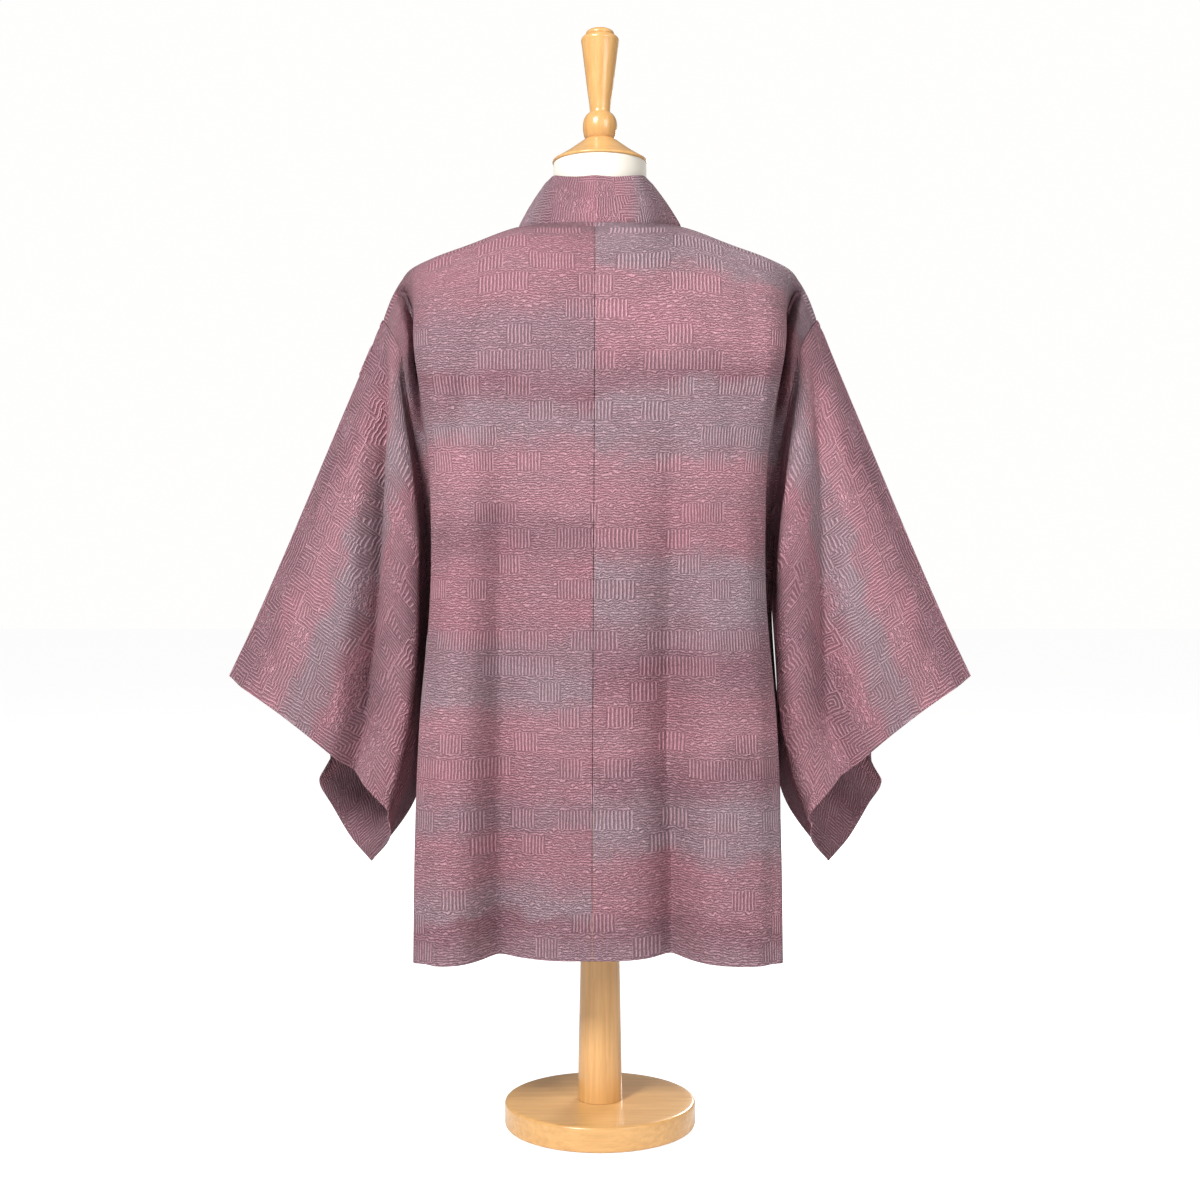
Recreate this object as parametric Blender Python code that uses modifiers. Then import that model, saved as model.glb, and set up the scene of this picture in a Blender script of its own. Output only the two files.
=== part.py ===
"""A haori jacket on a limbless dress form, which a tapered wooden post carries on a round base.

Metres, +Z up. The origin is the centre of the base's underside. The garment's front faces -Y, and
the wearer's left is +X. The jacket is cut the way a haori is: one length of cloth for each side of
the body, from the front hem over the shoulder to the back hem, two straight sleeves, two tapered
side gussets and one long collar band.
"""

import math

import bmesh
import bpy
import numpy as np

# Driving dimensions.
CLOTH = 0.0015  # wall of one layer of cloth
COLLAR_CLOTH = 0.0025  # wall of the folded collar band
SEAM_GAP = 0.0003  # between the edges of two pieces at a seam
SLEEVE_STEP = 0.0014  # the sleeve's ring stands this far out from the armhole's line, clear of its wall
BASE_RADIUS = 0.100
BASE_HEIGHT = 0.0257
BASE_EDGE = 0.003
POST_FOOT_RADIUS = 0.0233
POST_TOP_RADIUS = 0.0180
NECK_TOP = 1.0090  # the form's neck ends here, under the wooden cap
FORM_BOTTOM = 0.3300
SLEEVE_LENGTH = 0.4087  # along its top fold, from the armhole seam to the cuff
SLEEVE_SLANT = math.radians(23.4)  # of the top fold, from the vertical
COLLAR_WIDTH = 0.0550
CENTRE_SEAM_TOP = 0.0050  # the back seam stands a little to the left of the middle
CENTRE_SEAM_HEM = 0.0078
SIDE_SHIFT = 0.0012  # the body hangs a little to the left

# Grid of the cloth: the sleeve's half ring and the armhole share their points.
ARM_STEPS = 12
SKIRT_STEPS = 9
ACROSS_STEPS = 14
SLEEVE_STEPS = 12
COLLAR_ACROSS = 3

# Where the columns of a body panel lie on the cloth, from the middle of the back to the sleeve seam.
COLUMNS = ("centre", "neck_mid", "neck", "mid", "round", "roll", "wall", "crease", "edge")
COLUMN_AT = (0.0, 0.045, 0.085, 0.140, 0.175, 0.195, 0.225, 0.250, 0.275)
NECK_AT = COLUMN_AT[2]

# The shoulder line, where each column passes from the back to the front: x, y, z.
RIDGE = {
    "centre": (0.0000, 0.0750, 0.9320),
    "neck_mid": (0.0470, 0.0600, 0.9345),
    "neck": (0.0860, 0.0000, 0.9435),
    "mid": (0.1400, 0.0000, 0.9240),
    "round": (0.1765, 0.0000, 0.9105),
    "roll": (0.1960, 0.0000, 0.9010),
    "wall": (0.2095, 0.0000, 0.8865),
    "crease": (0.2195, 0.0000, 0.8690),
    "edge": (0.2285, 0.0000, 0.8455),
}
# The armhole seam between the shoulder line and the blade level: share of the way, x, y, z.
ARMHOLE_TOP = ((1 / 3, 0.2179, 0.0220, 0.8307), (2 / 3, 0.2059, 0.0350, 0.8076))

# Half of the body at its levels. back and front: depth of the middle of the panel. side: half width.
# corner: y of the rounded corner. wall_y, crease, edge: the panel's last stretch, behind the corner.
# drop: how far the crease and the edge hang below the level. opening: x of the front edge.
LEVEL_COLUMNS = (
    "z", "back", "front", "side", "corner", "wall_y",
    "crease_x", "crease_y", "edge_x", "edge_y", "drop", "opening",
)
LEVELS = {
    "blade": (0.8000, 0.098, 0.112, 0.1865, 0.078, 0.045, 0.1920, 0.022, 0.2002, 0.0320, 0.0292, 0.084),
    "chest": (0.7100, 0.103, 0.118, 0.1725, 0.082, 0.048, 0.1785, 0.028, 0.1889, 0.0240, 0.0090, 0.086),
    "underarm": (0.6414, 0.104, 0.118, 0.1685, 0.085, 0.050, 0.1740, 0.026, 0.1820, 0.0130, 0.0000, 0.088),
    "waist": (0.5450, 0.103, 0.114, 0.1690, 0.087, 0.055, 0.1735, 0.032, 0.1755, 0.0150, 0.0000, 0.091),
    "hip": (0.4300, 0.101, 0.112, 0.1785, 0.090, 0.062, 0.1810, 0.040, 0.1820, 0.0210, 0.0000, 0.095),
    "low": (0.3100, 0.101, 0.112, 0.1820, 0.102, 0.070, 0.1840, 0.048, 0.1850, 0.0280, 0.0000, 0.098),
    "hem": (0.1915, 0.102, 0.112, 0.1820, 0.116, 0.080, 0.1840, 0.056, 0.1850, 0.0350, 0.0000, 0.100),
}
RIGHT_SIDE = 0.992  # the right half is this much narrower than the left
FOLD_COLUMNS = ("x_top", "z_top", "x_hem", "z_low", "half_width", "depth")
# Soft folds of the back, left side positive: a ridge has a positive depth and a trough a negative one.
BACK_FOLDS = {
    "left_bulge": (0.120, 0.620, 0.143, 0.10, 0.036, 0.030),
    "left_trough": (0.092, 0.700, 0.098, 0.10, 0.016, -0.009),
    "left_drag": (0.118, 0.860, 0.168, 0.56, 0.014, -0.006),
    "right_trough": (-0.066, 0.700, -0.074, 0.10, 0.018, -0.010),
    "right_bulge": (-0.120, 0.620, -0.138, 0.10, 0.036, 0.030),
    "right_drag": (-0.140, 0.850, -0.160, 0.58, 0.012, -0.005),
}
FRONT_FOLDS = {
    "left_front": (0.135, 0.620, 0.140, 0.10, 0.024, 0.016),
    "right_front": (-0.132, 0.640, -0.136, 0.10, 0.024, 0.017),
}
FOLD_FADE = 0.14  # a fold fades in over this height

# The sleeve's sections in its own frame: s down the top fold from the armhole, p from the top fold
# towards the body, q towards the back. Columns run from the top fold down the back to the bottom
# seam, and from the top fold down the front to the same seam.
SLEEVE_AT = (0.0, 0.27, 0.46, 0.60, 0.72, 0.84, 1.0)  # along one layer, top fold to bottom seam
SLEEVE_BACK = {
    "upper": (
        (0.135, 0.001, 0.000), (0.137, 0.036, 0.030), (0.140, 0.064, 0.047), (0.144, 0.086, 0.050),
        (0.151, 0.103, 0.042), (0.166, 0.116, 0.023), (0.196, 0.1310, -0.006),
    ),
    "middle": (
        (0.270, 0.0025, 0.000), (0.275, 0.060, 0.028), (0.281, 0.106, 0.042), (0.288, 0.140, 0.044),
        (0.296, 0.163, 0.036), (0.308, 0.1760, 0.016), (0.334, 0.1890, -0.016),
    ),
    "lower": (
        (0.350, 0.002, 0.000), (0.358, 0.072, 0.025), (0.367, 0.126, 0.036), (0.377, 0.168, 0.038),
        (0.388, 0.199, 0.032), (0.405, 0.212, 0.012), (0.442, 0.2300, -0.018),
    ),
    "cuff": (
        (0.4087, 0.000, 0.000), (0.4220, 0.080, 0.020), (0.4365, 0.136, 0.030), (0.4530, 0.178, 0.033),
        (0.4675, 0.210, 0.028), (0.4920, 0.2238, 0.010), (0.5317, 0.2143, -0.020),
    ),
}
SLEEVE_FRONT = {
    "upper": (
        (0.135, 0.001, 0.000), (0.138, 0.035, -0.030), (0.142, 0.062, -0.048), (0.147, 0.084, -0.052),
        (0.154, 0.102, -0.046), (0.168, 0.118, -0.030), (0.196, 0.1310, -0.006),
    ),
    "middle": (
        (0.270, 0.0025, 0.000), (0.277, 0.056, -0.036), (0.286, 0.096, -0.056), (0.296, 0.126, -0.062),
        (0.306, 0.152, -0.057), (0.318, 0.174, -0.042), (0.334, 0.1890, -0.016),
    ),
    "lower": (
        (0.350, 0.002, 0.000), (0.360, 0.068, -0.042), (0.374, 0.108, -0.070), (0.396, 0.134, -0.080),
        (0.410, 0.164, -0.074), (0.425, 0.198, -0.052), (0.442, 0.2300, -0.018),
    ),
    "cuff": (
        (0.4087, 0.000, 0.000), (0.4265, 0.078, -0.040), (0.4480, 0.115, -0.074), (0.4880, 0.1248, -0.080),
        (0.5050, 0.151, -0.068), (0.5215, 0.180, -0.050), (0.5317, 0.2143, -0.020),
    ),
}
SLEEVE_KNOTS = (0.0, 0.33, 0.62, 0.82, 1.0)

# How the collar band leans away from its seam: share of the way from the middle of the back to the
# front hem, then the direction from the seam to the free edge.
COLLAR_LEAN = (
    (0.00, (0.00, -0.335, 0.94)),
    (0.032, (-0.165, -0.345, 0.925)),
    (0.073, (-0.25, -0.20, 0.945)),
    (0.129, (-0.53, 0.00, 0.85)),
    (0.156, (-0.65, -0.06, 0.75)),
    (0.183, (-0.74, -0.04, 0.64)),
    (0.24, (-0.88, -0.08, 0.42)),
    (0.30, (-0.97, -0.10, 0.16)),
    (0.50, (-1.00, -0.05, 0.02)),
    (1.00, (-1.00, 0.03, 0.00)),
)

# The dress form's rings: z, half width, back depth, front depth, squareness of the outline.
FORM_RINGS = (
    (FORM_BOTTOM, 0.110, 0.054, 0.046, 2.0),
    (0.3400, 0.130, 0.066, 0.054, 2.0),
    (0.4200, 0.136, 0.071, 0.058, 2.0),
    (0.5000, 0.130, 0.070, 0.062, 2.0),
    (0.5900, 0.122, 0.069, 0.068, 2.1),
    (0.6600, 0.132, 0.073, 0.082, 2.3),
    (0.7400, 0.152, 0.082, 0.100, 2.4),
    (0.8000, 0.168, 0.082, 0.090, 2.5),
    (0.8600, 0.178, 0.074, 0.074, 2.4),
    (0.8900, 0.181, 0.062, 0.060, 2.3),
    (0.9055, 0.170, 0.055, 0.052, 2.2),
    (0.9170, 0.139, 0.052, 0.050, 2.0),
    (0.9300, 0.098, 0.0510, 0.0500, 2.0),
    (0.9400, 0.070, 0.0510, 0.0505, 2.0),
    (0.9510, 0.0590, 0.0515, 0.0515, 2.0),
    (0.9670, 0.0520, 0.0510, 0.0510, 2.0),
    (0.9800, 0.0490, 0.0490, 0.0490, 2.0),
    (NECK_TOP, 0.0489, 0.0489, 0.0489, 2.0),
)
FORM_SEGMENTS = 32

# Turned profiles: radius, height above the piece's foot.
CAP_PROFILE = (
    (0.0000, 0.0000), (0.0488, 0.0000), (0.0500, 0.0014), (0.0496, 0.0028), (0.0462, 0.0050),
    (0.0330, 0.0134), (0.0225, 0.0208), (0.0163, 0.0255), (0.0000, 0.0255),
)
FINIAL_PROFILE = (
    (0.0000, 0.0000), (0.0148, 0.0000), (0.0172, 0.0055), (0.0181, 0.0132), (0.0174, 0.0195),
    (0.0145, 0.0250), (0.0110, 0.0283), (0.0108, 0.0320), (0.0135, 0.0530), (0.0166, 0.0780),
    (0.0197, 0.1018), (0.0200, 0.1038), (0.0184, 0.1072), (0.0157, 0.1088), (0.0150, 0.1096),
    (0.0150, 0.1112), (0.0125, 0.1144), (0.0070, 0.1163), (0.0000, 0.1168),
)
TURNED_STEPS = 32

MATERIALS = {
    "cloth": ((0.40, 0.20, 0.25), 0.70),
    "linen": ((0.80, 0.77, 0.68), 0.85),
    "wood": ((0.72, 0.42, 0.18), 0.35),
}


def clear_scene():
    for obj in list(bpy.data.objects):
        bpy.data.objects.remove(obj, do_unlink=True)


def material(name):
    made = bpy.data.materials.get(name)
    if made is None:
        colour, roughness = MATERIALS[name]
        made = bpy.data.materials.new(name)
        made.use_nodes = True
        shader = made.node_tree.nodes["Principled BSDF"]
        shader.inputs["Base Color"].default_value = (*colour, 1.0)
        shader.inputs["Roughness"].default_value = roughness
        shader.inputs["Metallic"].default_value = 0.0
    return made


def add_object(name, mesh, finish, collection):
    obj = bpy.data.objects.new(name, mesh)
    collection.objects.link(obj)
    mesh.materials.append(material(finish))
    return obj


def hermite(points, knots, at):
    """A smooth curve through the points, which stand at the knots, read at the values in at."""
    points, knots, at = np.asarray(points, float), np.asarray(knots, float), np.atleast_1d(at)
    steps = np.diff(knots)
    slopes = np.diff(points, axis=0) / steps[:, None]
    tangents = np.empty_like(points)
    tangents[0], tangents[-1] = slopes[0], slopes[-1]
    before, after = steps[:-1, None], steps[1:, None]
    tangents[1:-1] = (after * slopes[:-1] + before * slopes[1:]) / (before + after)
    i = np.clip(np.searchsorted(knots, at, side="right") - 1, 0, len(steps) - 1)
    t = ((at - knots[i]) / steps[i])[:, None]
    h = steps[i][:, None]
    return (
        (2 * t**3 - 3 * t**2 + 1) * points[i]
        + (t**3 - 2 * t**2 + t) * h * tangents[i]
        + (3 * t**2 - 2 * t**3) * points[i + 1]
        + (t**3 - t**2) * h * tangents[i + 1]
    )


def level(name):
    return dict(zip(LEVEL_COLUMNS, LEVELS[name]))


def level_point(name, column, front):
    """A control point of the left half, before its back seam and its side are shifted."""
    at = level(name)
    depth = at["front"] if front else at["back"]
    corner = at["corner"] + (depth - at["back"])
    inner = at["opening"] if front else 0.085
    outer = at["side"] - 0.013
    x, y, z = {
        "centre": (0.0, depth, at["z"]),
        "neck_mid": (0.045, depth, at["z"]),
        "neck": (inner, depth, at["z"]),
        "mid": (inner + 0.62 * (outer - inner), depth - 0.002, at["z"]),
        "round": (outer, (depth + corner) / 2 + 0.002, at["z"]),
        "roll": (at["side"], corner - 0.004, at["z"]),
        "wall": (at["side"] + 0.0015, at["wall_y"], at["z"]),
        "crease": (at["crease_x"], at["crease_y"], at["z"] - 0.6 * at["drop"]),
        "edge": (at["edge_x"], at["edge_y"], at["z"] - at["drop"]),
    }[column]
    return np.array((x, -y if front else y, z))


def over_shoulder(column, share, front):
    """A control point between the shoulder line (share 0) and the blade level (share 1)."""
    top, end = np.array(RIDGE[column]), level_point("blade", column, front)
    if column == "edge" and 0 < share < 1:
        _, x, y, z = next(row for row in ARMHOLE_TOP if abs(row[0] - share) < 0.01)
        return np.array((x, -y if front else y, z))
    out, down = math.sin(share * math.pi / 2), 1 - math.cos(share * math.pi / 2)
    return np.array(
        (top[0] + (end[0] - top[0]) * out, top[1] + (end[1] - top[1]) * out, top[2] + (end[2] - top[2]) * down)
    )


def body_net(front):
    """Control points of half a panel: rows from the shoulder line to the hem, one for each column."""
    rows = [[over_shoulder(c, share, front) for c in COLUMNS] for share in (0, 1 / 3, 2 / 3, 1)]
    rows += [[level_point(name, c, front) for c in COLUMNS] for name in list(LEVELS)[1:]]
    return np.array(rows)


UNDERARM_ROW = 5  # of body_net
LAST_ROW = 9


def smooth_step(value):
    value = np.clip(value, 0.0, 1.0)
    return value * value * (3 - 2 * value)


def folds_at(x, z, folds):
    """How far the folds move the cloth outwards at x, z."""
    moved = np.zeros_like(x)
    for row in folds.values():
        fold = dict(zip(FOLD_COLUMNS, row))
        down = np.clip((fold["z_top"] - z) / (fold["z_top"] - fold["z_low"]), 0, 1)
        middle = fold["x_top"] + (fold["x_hem"] - fold["x_top"]) * down
        fade = smooth_step((fold["z_top"] - z) / FOLD_FADE) * smooth_step((z - fold["z_low"]) / 0.06)
        grow = 0.35 + 0.65 * down
        moved += fold["depth"] * fade * grow * np.exp(-(((x - middle) / fold["half_width"]) ** 2))
    return moved


def body_surface(side, front, rows, columns):
    """Points of half a body panel's outside, side +1 for the left: (rows, columns, 3)."""
    net = body_net(front)
    along = np.array([hermite(net[:, c], np.arange(len(net)), rows) for c in range(len(COLUMNS))])
    grid = np.array([hermite(along[:, r], COLUMN_AT, columns) for r in range(len(rows))])
    x, y, z = grid[..., 0].copy(), grid[..., 1].copy(), grid[..., 2]
    if side < 0:
        x *= 1 + (RIGHT_SIDE - 1) * smooth_step((0.85 - z) / 0.10)
    x *= side
    torso = smooth_step((level("blade")["side"] - 0.006 - np.abs(x)) / 0.022)
    under_yoke = smooth_step((0.90 - z) / 0.08)
    y += (-1 if front else 1) * folds_at(x, z, FRONT_FOLDS if front else BACK_FOLDS) * torso * under_yoke
    low = smooth_step((0.95 - z) / 0.75)
    seam = CENTRE_SEAM_TOP + (CENTRE_SEAM_HEM - CENTRE_SEAM_TOP) * low
    half = level("hem")["side"]
    if not front:
        x += seam * smooth_step(1 - np.abs(x) / 0.08)
    x += SIDE_SHIFT * smooth_step((0.80 - z) / 0.10) * smooth_step(np.abs(x) / half)
    return np.stack((x, y, z), axis=-1)


def row_samples():
    """Where the rows of half a panel lie: the armhole's rows, then the skirt's."""
    arm = np.linspace(0, UNDERARM_ROW, ARM_STEPS + 1)
    skirt = np.linspace(UNDERARM_ROW, LAST_ROW, SKIRT_STEPS + 1)
    return arm, np.concatenate((arm, skirt[1:]))


def column_samples():
    """Where the columns of a panel lie: one on the neck line, and closer together at the corner."""
    inner = np.linspace(0, NECK_AT, 6)
    outer = np.concatenate((np.linspace(NECK_AT, 0.165, 4)[1:], np.linspace(0.165, COLUMN_AT[-1], 9)[1:]))
    return inner, np.concatenate((inner, outer))


def armhole(side, front):
    """The edge of the body panel that the sleeve is sewn to, from the shoulder line to the underarm."""
    arm, _ = row_samples()
    return body_surface(side, front, arm, np.array((COLUMN_AT[-1],)))[:, 0]


def armhole_ring(side, front):
    """The same edge for the sleeve, whose ring closes under the arm between the two panels."""
    ring = armhole(side, front)
    ring[:, 0] += side * SLEEVE_STEP
    ring[1:, 1] += (-1 if front else 1) * SLEEVE_STEP / 2
    ring[-1, 1] = 0.0
    ring[-1, 2] -= 0.004
    return ring


def grid_faces(bm, grid, keep=lambda r, c: True, closed=False):
    """Adds the quads of a grid of points; keep says which, and closed joins its last column to its first."""
    rows, columns = grid.shape[:2]
    verts = {}

    def vert(r, c):
        c %= columns
        if (r, c) not in verts:
            verts[r, c] = bm.verts.new(grid[r, c])
        return verts[r, c]

    for r in range(rows - 1):
        for c in range(columns if closed else columns - 1):
            if keep(r, c):
                bm.faces.new((vert(r, c), vert(r + 1, c), vert(r + 1, c + 1), vert(r, c + 1)))


def cloth_object(name, grid, outwards, collection, keep=lambda r, c: True, closed=False, wall=CLOTH):
    """A piece of cloth: the grid is its outside, and Solidify gives it its wall inwards.
    outwards is a rough direction out of the piece at the grid's middle face."""
    bm = bmesh.new()
    grid_faces(bm, grid, keep, closed)
    bm.normal_update()
    bm.faces.ensure_lookup_table()
    probe = bm.faces[len(bm.faces) // 2]
    if probe.normal.dot(outwards(probe.calc_center_median())) < 0:
        bmesh.ops.reverse_faces(bm, faces=bm.faces)
    mesh = bpy.data.meshes.new(name)
    bm.to_mesh(mesh)
    bm.free()
    mesh.shade_smooth()
    obj = add_object(name, mesh, "cloth", collection)
    solidify = obj.modifiers.new("wall", "SOLIDIFY")
    solidify.thickness = wall
    solidify.offset = -1
    solidify.use_even_offset = False
    return obj


def build_body(side, collection):
    """One length of cloth, from the back hem over the shoulder to the front hem, cut out at the neck."""
    _, rows = row_samples()
    inner, columns = column_samples()
    back = body_surface(side, False, rows, columns)
    front = body_surface(side, True, rows, columns)
    back[:, 0, 0] += side * SEAM_GAP / 2
    front[0] = back[0]
    grid = np.concatenate((back[::-1], front[1:]))
    neck_column = len(inner) - 1
    shoulder_row = len(rows) - 1

    def keep(row, column):
        return column >= neck_column or row < shoulder_row

    name = "body_left" if side > 0 else "body_right"
    return cloth_object(name, grid, lambda c: (c.x, c.y, 0.0), collection, keep)


def gusset_surface(side, steps):
    """The tapered strip between the back's and the front's side edges, from the underarm to the hem."""
    rows = np.linspace(UNDERARM_ROW + 0.35, LAST_ROW, steps + 1)
    edge = np.array((COLUMN_AT[-1],))
    back = body_surface(side, False, rows, edge)[:, 0]
    front = body_surface(side, True, rows, edge)[:, 0]
    share = np.array((0.0, 0.5, 1.0))[None, :, None]
    grid = back[:, None] * (1 - share) + front[:, None] * share
    grid[:, 0, 1] -= 2 * SEAM_GAP
    grid[:, 2, 1] += 2 * SEAM_GAP
    grid[:, 1, 0] += side * 0.0040
    return grid


def build_gusset(side, collection):
    name = "gusset_left" if side > 0 else "gusset_right"
    return cloth_object(name, gusset_surface(side, SKIRT_STEPS), lambda c: (c.x, 0.0, 0.0), collection)


def sleeve_place(side, section):
    """Points of a sleeve section, given as s, p, q, in the part's frame."""
    s, p, q = np.moveaxis(np.asarray(section, float), -1, 0)
    top = RIDGE["edge"]
    down, out = math.cos(SLEEVE_SLANT), math.sin(SLEEVE_SLANT)
    x = top[0] + s * out - p * down
    z = top[2] - s * down - p * out
    return np.stack((side * x, q, z), axis=-1)


def sleeve_surface(side, lengths):
    """Points of the sleeve's outside: a row for each length, round from the bottom seam up the front
    to the top fold and down the back to the bottom seam again."""
    around = np.linspace(0, 1, ARM_STEPS + 1)
    halves = []
    for front, table in ((True, SLEEVE_FRONT), (False, SLEEVE_BACK)):
        rings = [armhole_ring(side, front)]
        rings += [hermite(sleeve_place(side, row), SLEEVE_AT, around) for row in table.values()]
        rings = np.array(rings)
        halves.append(np.array([hermite(rings[:, a], SLEEVE_KNOTS, lengths) for a in range(len(around))]))
    front, back = (np.swapaxes(half, 0, 1) for half in halves)
    return np.concatenate((front[:, ::-1], back[:, 1:-1]), axis=1)


def build_sleeve(side, collection):
    """A straight sleeve: a ring of cloth with its fold on top and one seam at the bottom."""
    lengths = np.linspace(0, 1, SLEEVE_STEPS + 1)
    lengths[0] = 2 * SEAM_GAP / SLEEVE_LENGTH
    grid = sleeve_surface(side, lengths)
    middle = grid.mean(axis=1)

    def outwards(centre):
        nearest = middle[np.argmin(np.linalg.norm(middle - np.array(centre), axis=1))]
        return tuple(np.array(centre) - nearest)

    name = "sleeve_left" if side > 0 else "sleeve_right"
    return cloth_object(name, grid, outwards, collection, closed=True)


def collar_seam(side):
    """The line that the collar is sewn to on one side, from the middle of the back to the front hem."""
    _, rows = row_samples()
    inner, _ = column_samples()
    back = body_surface(side, False, np.array((0.0,)), inner)[0]
    front = body_surface(side, True, rows, np.array((NECK_AT,)))[:, 0]
    front[0] = back[-1]
    return np.concatenate((back, front[1:]))


def collar_surface(across):
    """Points of the collar band's outside, from the right front hem round the neck to the left."""
    sides = []
    for side in (1, -1):
        seam = collar_seam(side)
        steps = np.linalg.norm(np.diff(seam, axis=0), axis=1)
        along = np.concatenate(((0,), np.cumsum(steps))) / steps.sum()
        lean = hermite([row[1] for row in COLLAR_LEAN], [row[0] for row in COLLAR_LEAN], along)
        lean /= np.linalg.norm(lean, axis=1)[:, None]
        lean[:, 0] *= side
        start = seam + lean * SEAM_GAP
        band = start[:, None] + lean[:, None] * COLLAR_WIDTH * across[None, :, None]
        sides.append(band)
    left, right = sides
    left[0] = right[0] = (left[0] + right[0]) / 2
    return np.concatenate((right[::-1], left[1:]))


def build_collar(collection):
    """The collar: one long folded band, sewn round the neck and down both front edges to the hem."""
    across = np.linspace(0, 1, COLLAR_ACROSS + 1)
    return cloth_object(
        "collar", collar_surface(across), lambda c: (c.x, c.y, 0.0), collection, wall=COLLAR_CLOTH
    )


def form_ring(z, half_width, back, front, square):
    """One horizontal outline of the dress form."""
    points = []
    for i in range(FORM_SEGMENTS):
        angle = 2 * math.pi * i / FORM_SEGMENTS
        c, s = math.cos(angle), math.sin(angle)
        depth = back if s >= 0 else front
        points.append(
            (
                half_width * math.copysign(abs(c) ** (2 / square), c),
                depth * math.copysign(abs(s) ** (2 / square), s),
                z,
            )
        )
    return points


def build_form(collection):
    """The limbless torso with its neck: one closed, smooth body through its rings."""
    bm = bmesh.new()
    rings = [[bm.verts.new(p) for p in form_ring(*row)] for row in FORM_RINGS]
    for low, high in zip(rings, rings[1:]):
        for i in range(FORM_SEGMENTS):
            j = (i + 1) % FORM_SEGMENTS
            bm.faces.new((low[i], low[j], high[j], high[i]))
    bm.faces.new(rings[0][::-1])
    bm.faces.new(rings[-1])
    mesh = bpy.data.meshes.new("dress_form")
    bm.to_mesh(mesh)
    bm.free()
    mesh.shade_smooth()
    mesh.set_sharp_from_angle(angle=math.radians(50))
    return add_object("dress_form", mesh, "linen", collection)


def turned(name, profile, foot, collection, steps=TURNED_STEPS):
    """A turned piece of wood: its profile, foot first, spun round the Z axis at the given height."""
    mesh = bpy.data.meshes.new(name)
    points = [(radius, 0.0, height) for radius, height in reversed(profile)]
    mesh.from_pydata(points, [(i, i + 1) for i in range(len(points) - 1)], [])
    obj = add_object(name, mesh, "wood", collection)
    obj.location.z = foot
    screw = obj.modifiers.new("turn", "SCREW")
    screw.axis = "Z"
    screw.steps = steps
    screw.render_steps = steps
    screw.use_merge_vertices = True
    screw.merge_threshold = 0.0001
    screw.use_smooth_shade = True
    return obj


def build_stand(collection):
    """The round base, the post that tapers upwards, the neck's cap and the turned finial."""
    r, h, e = BASE_RADIUS, BASE_HEIGHT, BASE_EDGE
    base = ((0, 0), (r - e, 0), (r - 0.3 * e, 0.3 * e), (r, e), (r, h - e), (r - 0.3 * e, h - 0.3 * e), (r - e, h), (0, h))
    turned("base", base, 0.0, collection, steps=48)
    post_foot = BASE_HEIGHT + SEAM_GAP
    post_height = FORM_BOTTOM - SEAM_GAP - post_foot
    post = ((0, 0), (POST_FOOT_RADIUS, 0), (POST_TOP_RADIUS, post_height), (0, post_height))
    turned("post", post, post_foot, collection)
    cap_foot = NECK_TOP + SEAM_GAP
    turned("neck_cap", CAP_PROFILE, cap_foot, collection)
    turned("finial", FINIAL_PROFILE, cap_foot + CAP_PROFILE[-1][1] + SEAM_GAP, collection)


def main():
    clear_scene()
    collection = bpy.data.collections.new("haori_on_dress_form")
    bpy.context.scene.collection.children.link(collection)
    for side in (1, -1):
        build_body(side, collection)
        build_gusset(side, collection)
        build_sleeve(side, collection)
    build_collar(collection)
    build_form(collection)
    build_stand(collection)


main()
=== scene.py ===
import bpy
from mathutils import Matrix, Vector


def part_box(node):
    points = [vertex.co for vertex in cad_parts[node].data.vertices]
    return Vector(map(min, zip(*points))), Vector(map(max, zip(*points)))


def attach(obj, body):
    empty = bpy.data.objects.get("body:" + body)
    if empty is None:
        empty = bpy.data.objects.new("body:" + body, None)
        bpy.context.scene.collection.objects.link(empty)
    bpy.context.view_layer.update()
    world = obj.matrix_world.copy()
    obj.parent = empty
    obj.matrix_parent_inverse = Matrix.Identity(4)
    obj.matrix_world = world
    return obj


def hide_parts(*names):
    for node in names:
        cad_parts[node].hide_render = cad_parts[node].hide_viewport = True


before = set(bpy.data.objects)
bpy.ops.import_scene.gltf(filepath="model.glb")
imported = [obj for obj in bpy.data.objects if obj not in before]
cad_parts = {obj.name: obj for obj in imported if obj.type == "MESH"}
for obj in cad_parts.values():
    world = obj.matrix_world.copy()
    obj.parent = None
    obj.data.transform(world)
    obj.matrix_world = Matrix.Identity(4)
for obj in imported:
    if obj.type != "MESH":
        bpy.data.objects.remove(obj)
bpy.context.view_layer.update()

import math

import bpy
import numpy as np
from mathutils import Vector

# The viewpoint: level with the middle of the jacket's back, as far off as a person would stand to
# look it over. The lens is a plain one, with no shift and no blur.
camera_data = bpy.data.cameras.new("camera")
camera_data.lens = 50
camera_data.sensor_width = 36
camera_data.dof.use_dof = False
camera = bpy.data.objects.new("camera", camera_data)
bpy.context.scene.collection.objects.link(camera)
VIEW_DISTANCE = 1.7557
EYE_HEIGHT = 0.5504
camera.location = (0.0, VIEW_DISTANCE, EYE_HEIGHT)
camera.rotation_euler = (math.pi / 2, 0.0, math.pi)
bpy.context.scene.camera = camera

# The surroundings: a pale floor that runs up into a pale sky, a wide soft lamp above the viewer on
# each side, and a weaker one in front of the garment so that its far side isn't black.
def new_material(name):
    """An empty material, its node tree and its shader."""
    material = bpy.data.materials.new(name)
    material.use_nodes = True
    return material, material.node_tree, material.node_tree.nodes["Principled BSDF"]


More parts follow.
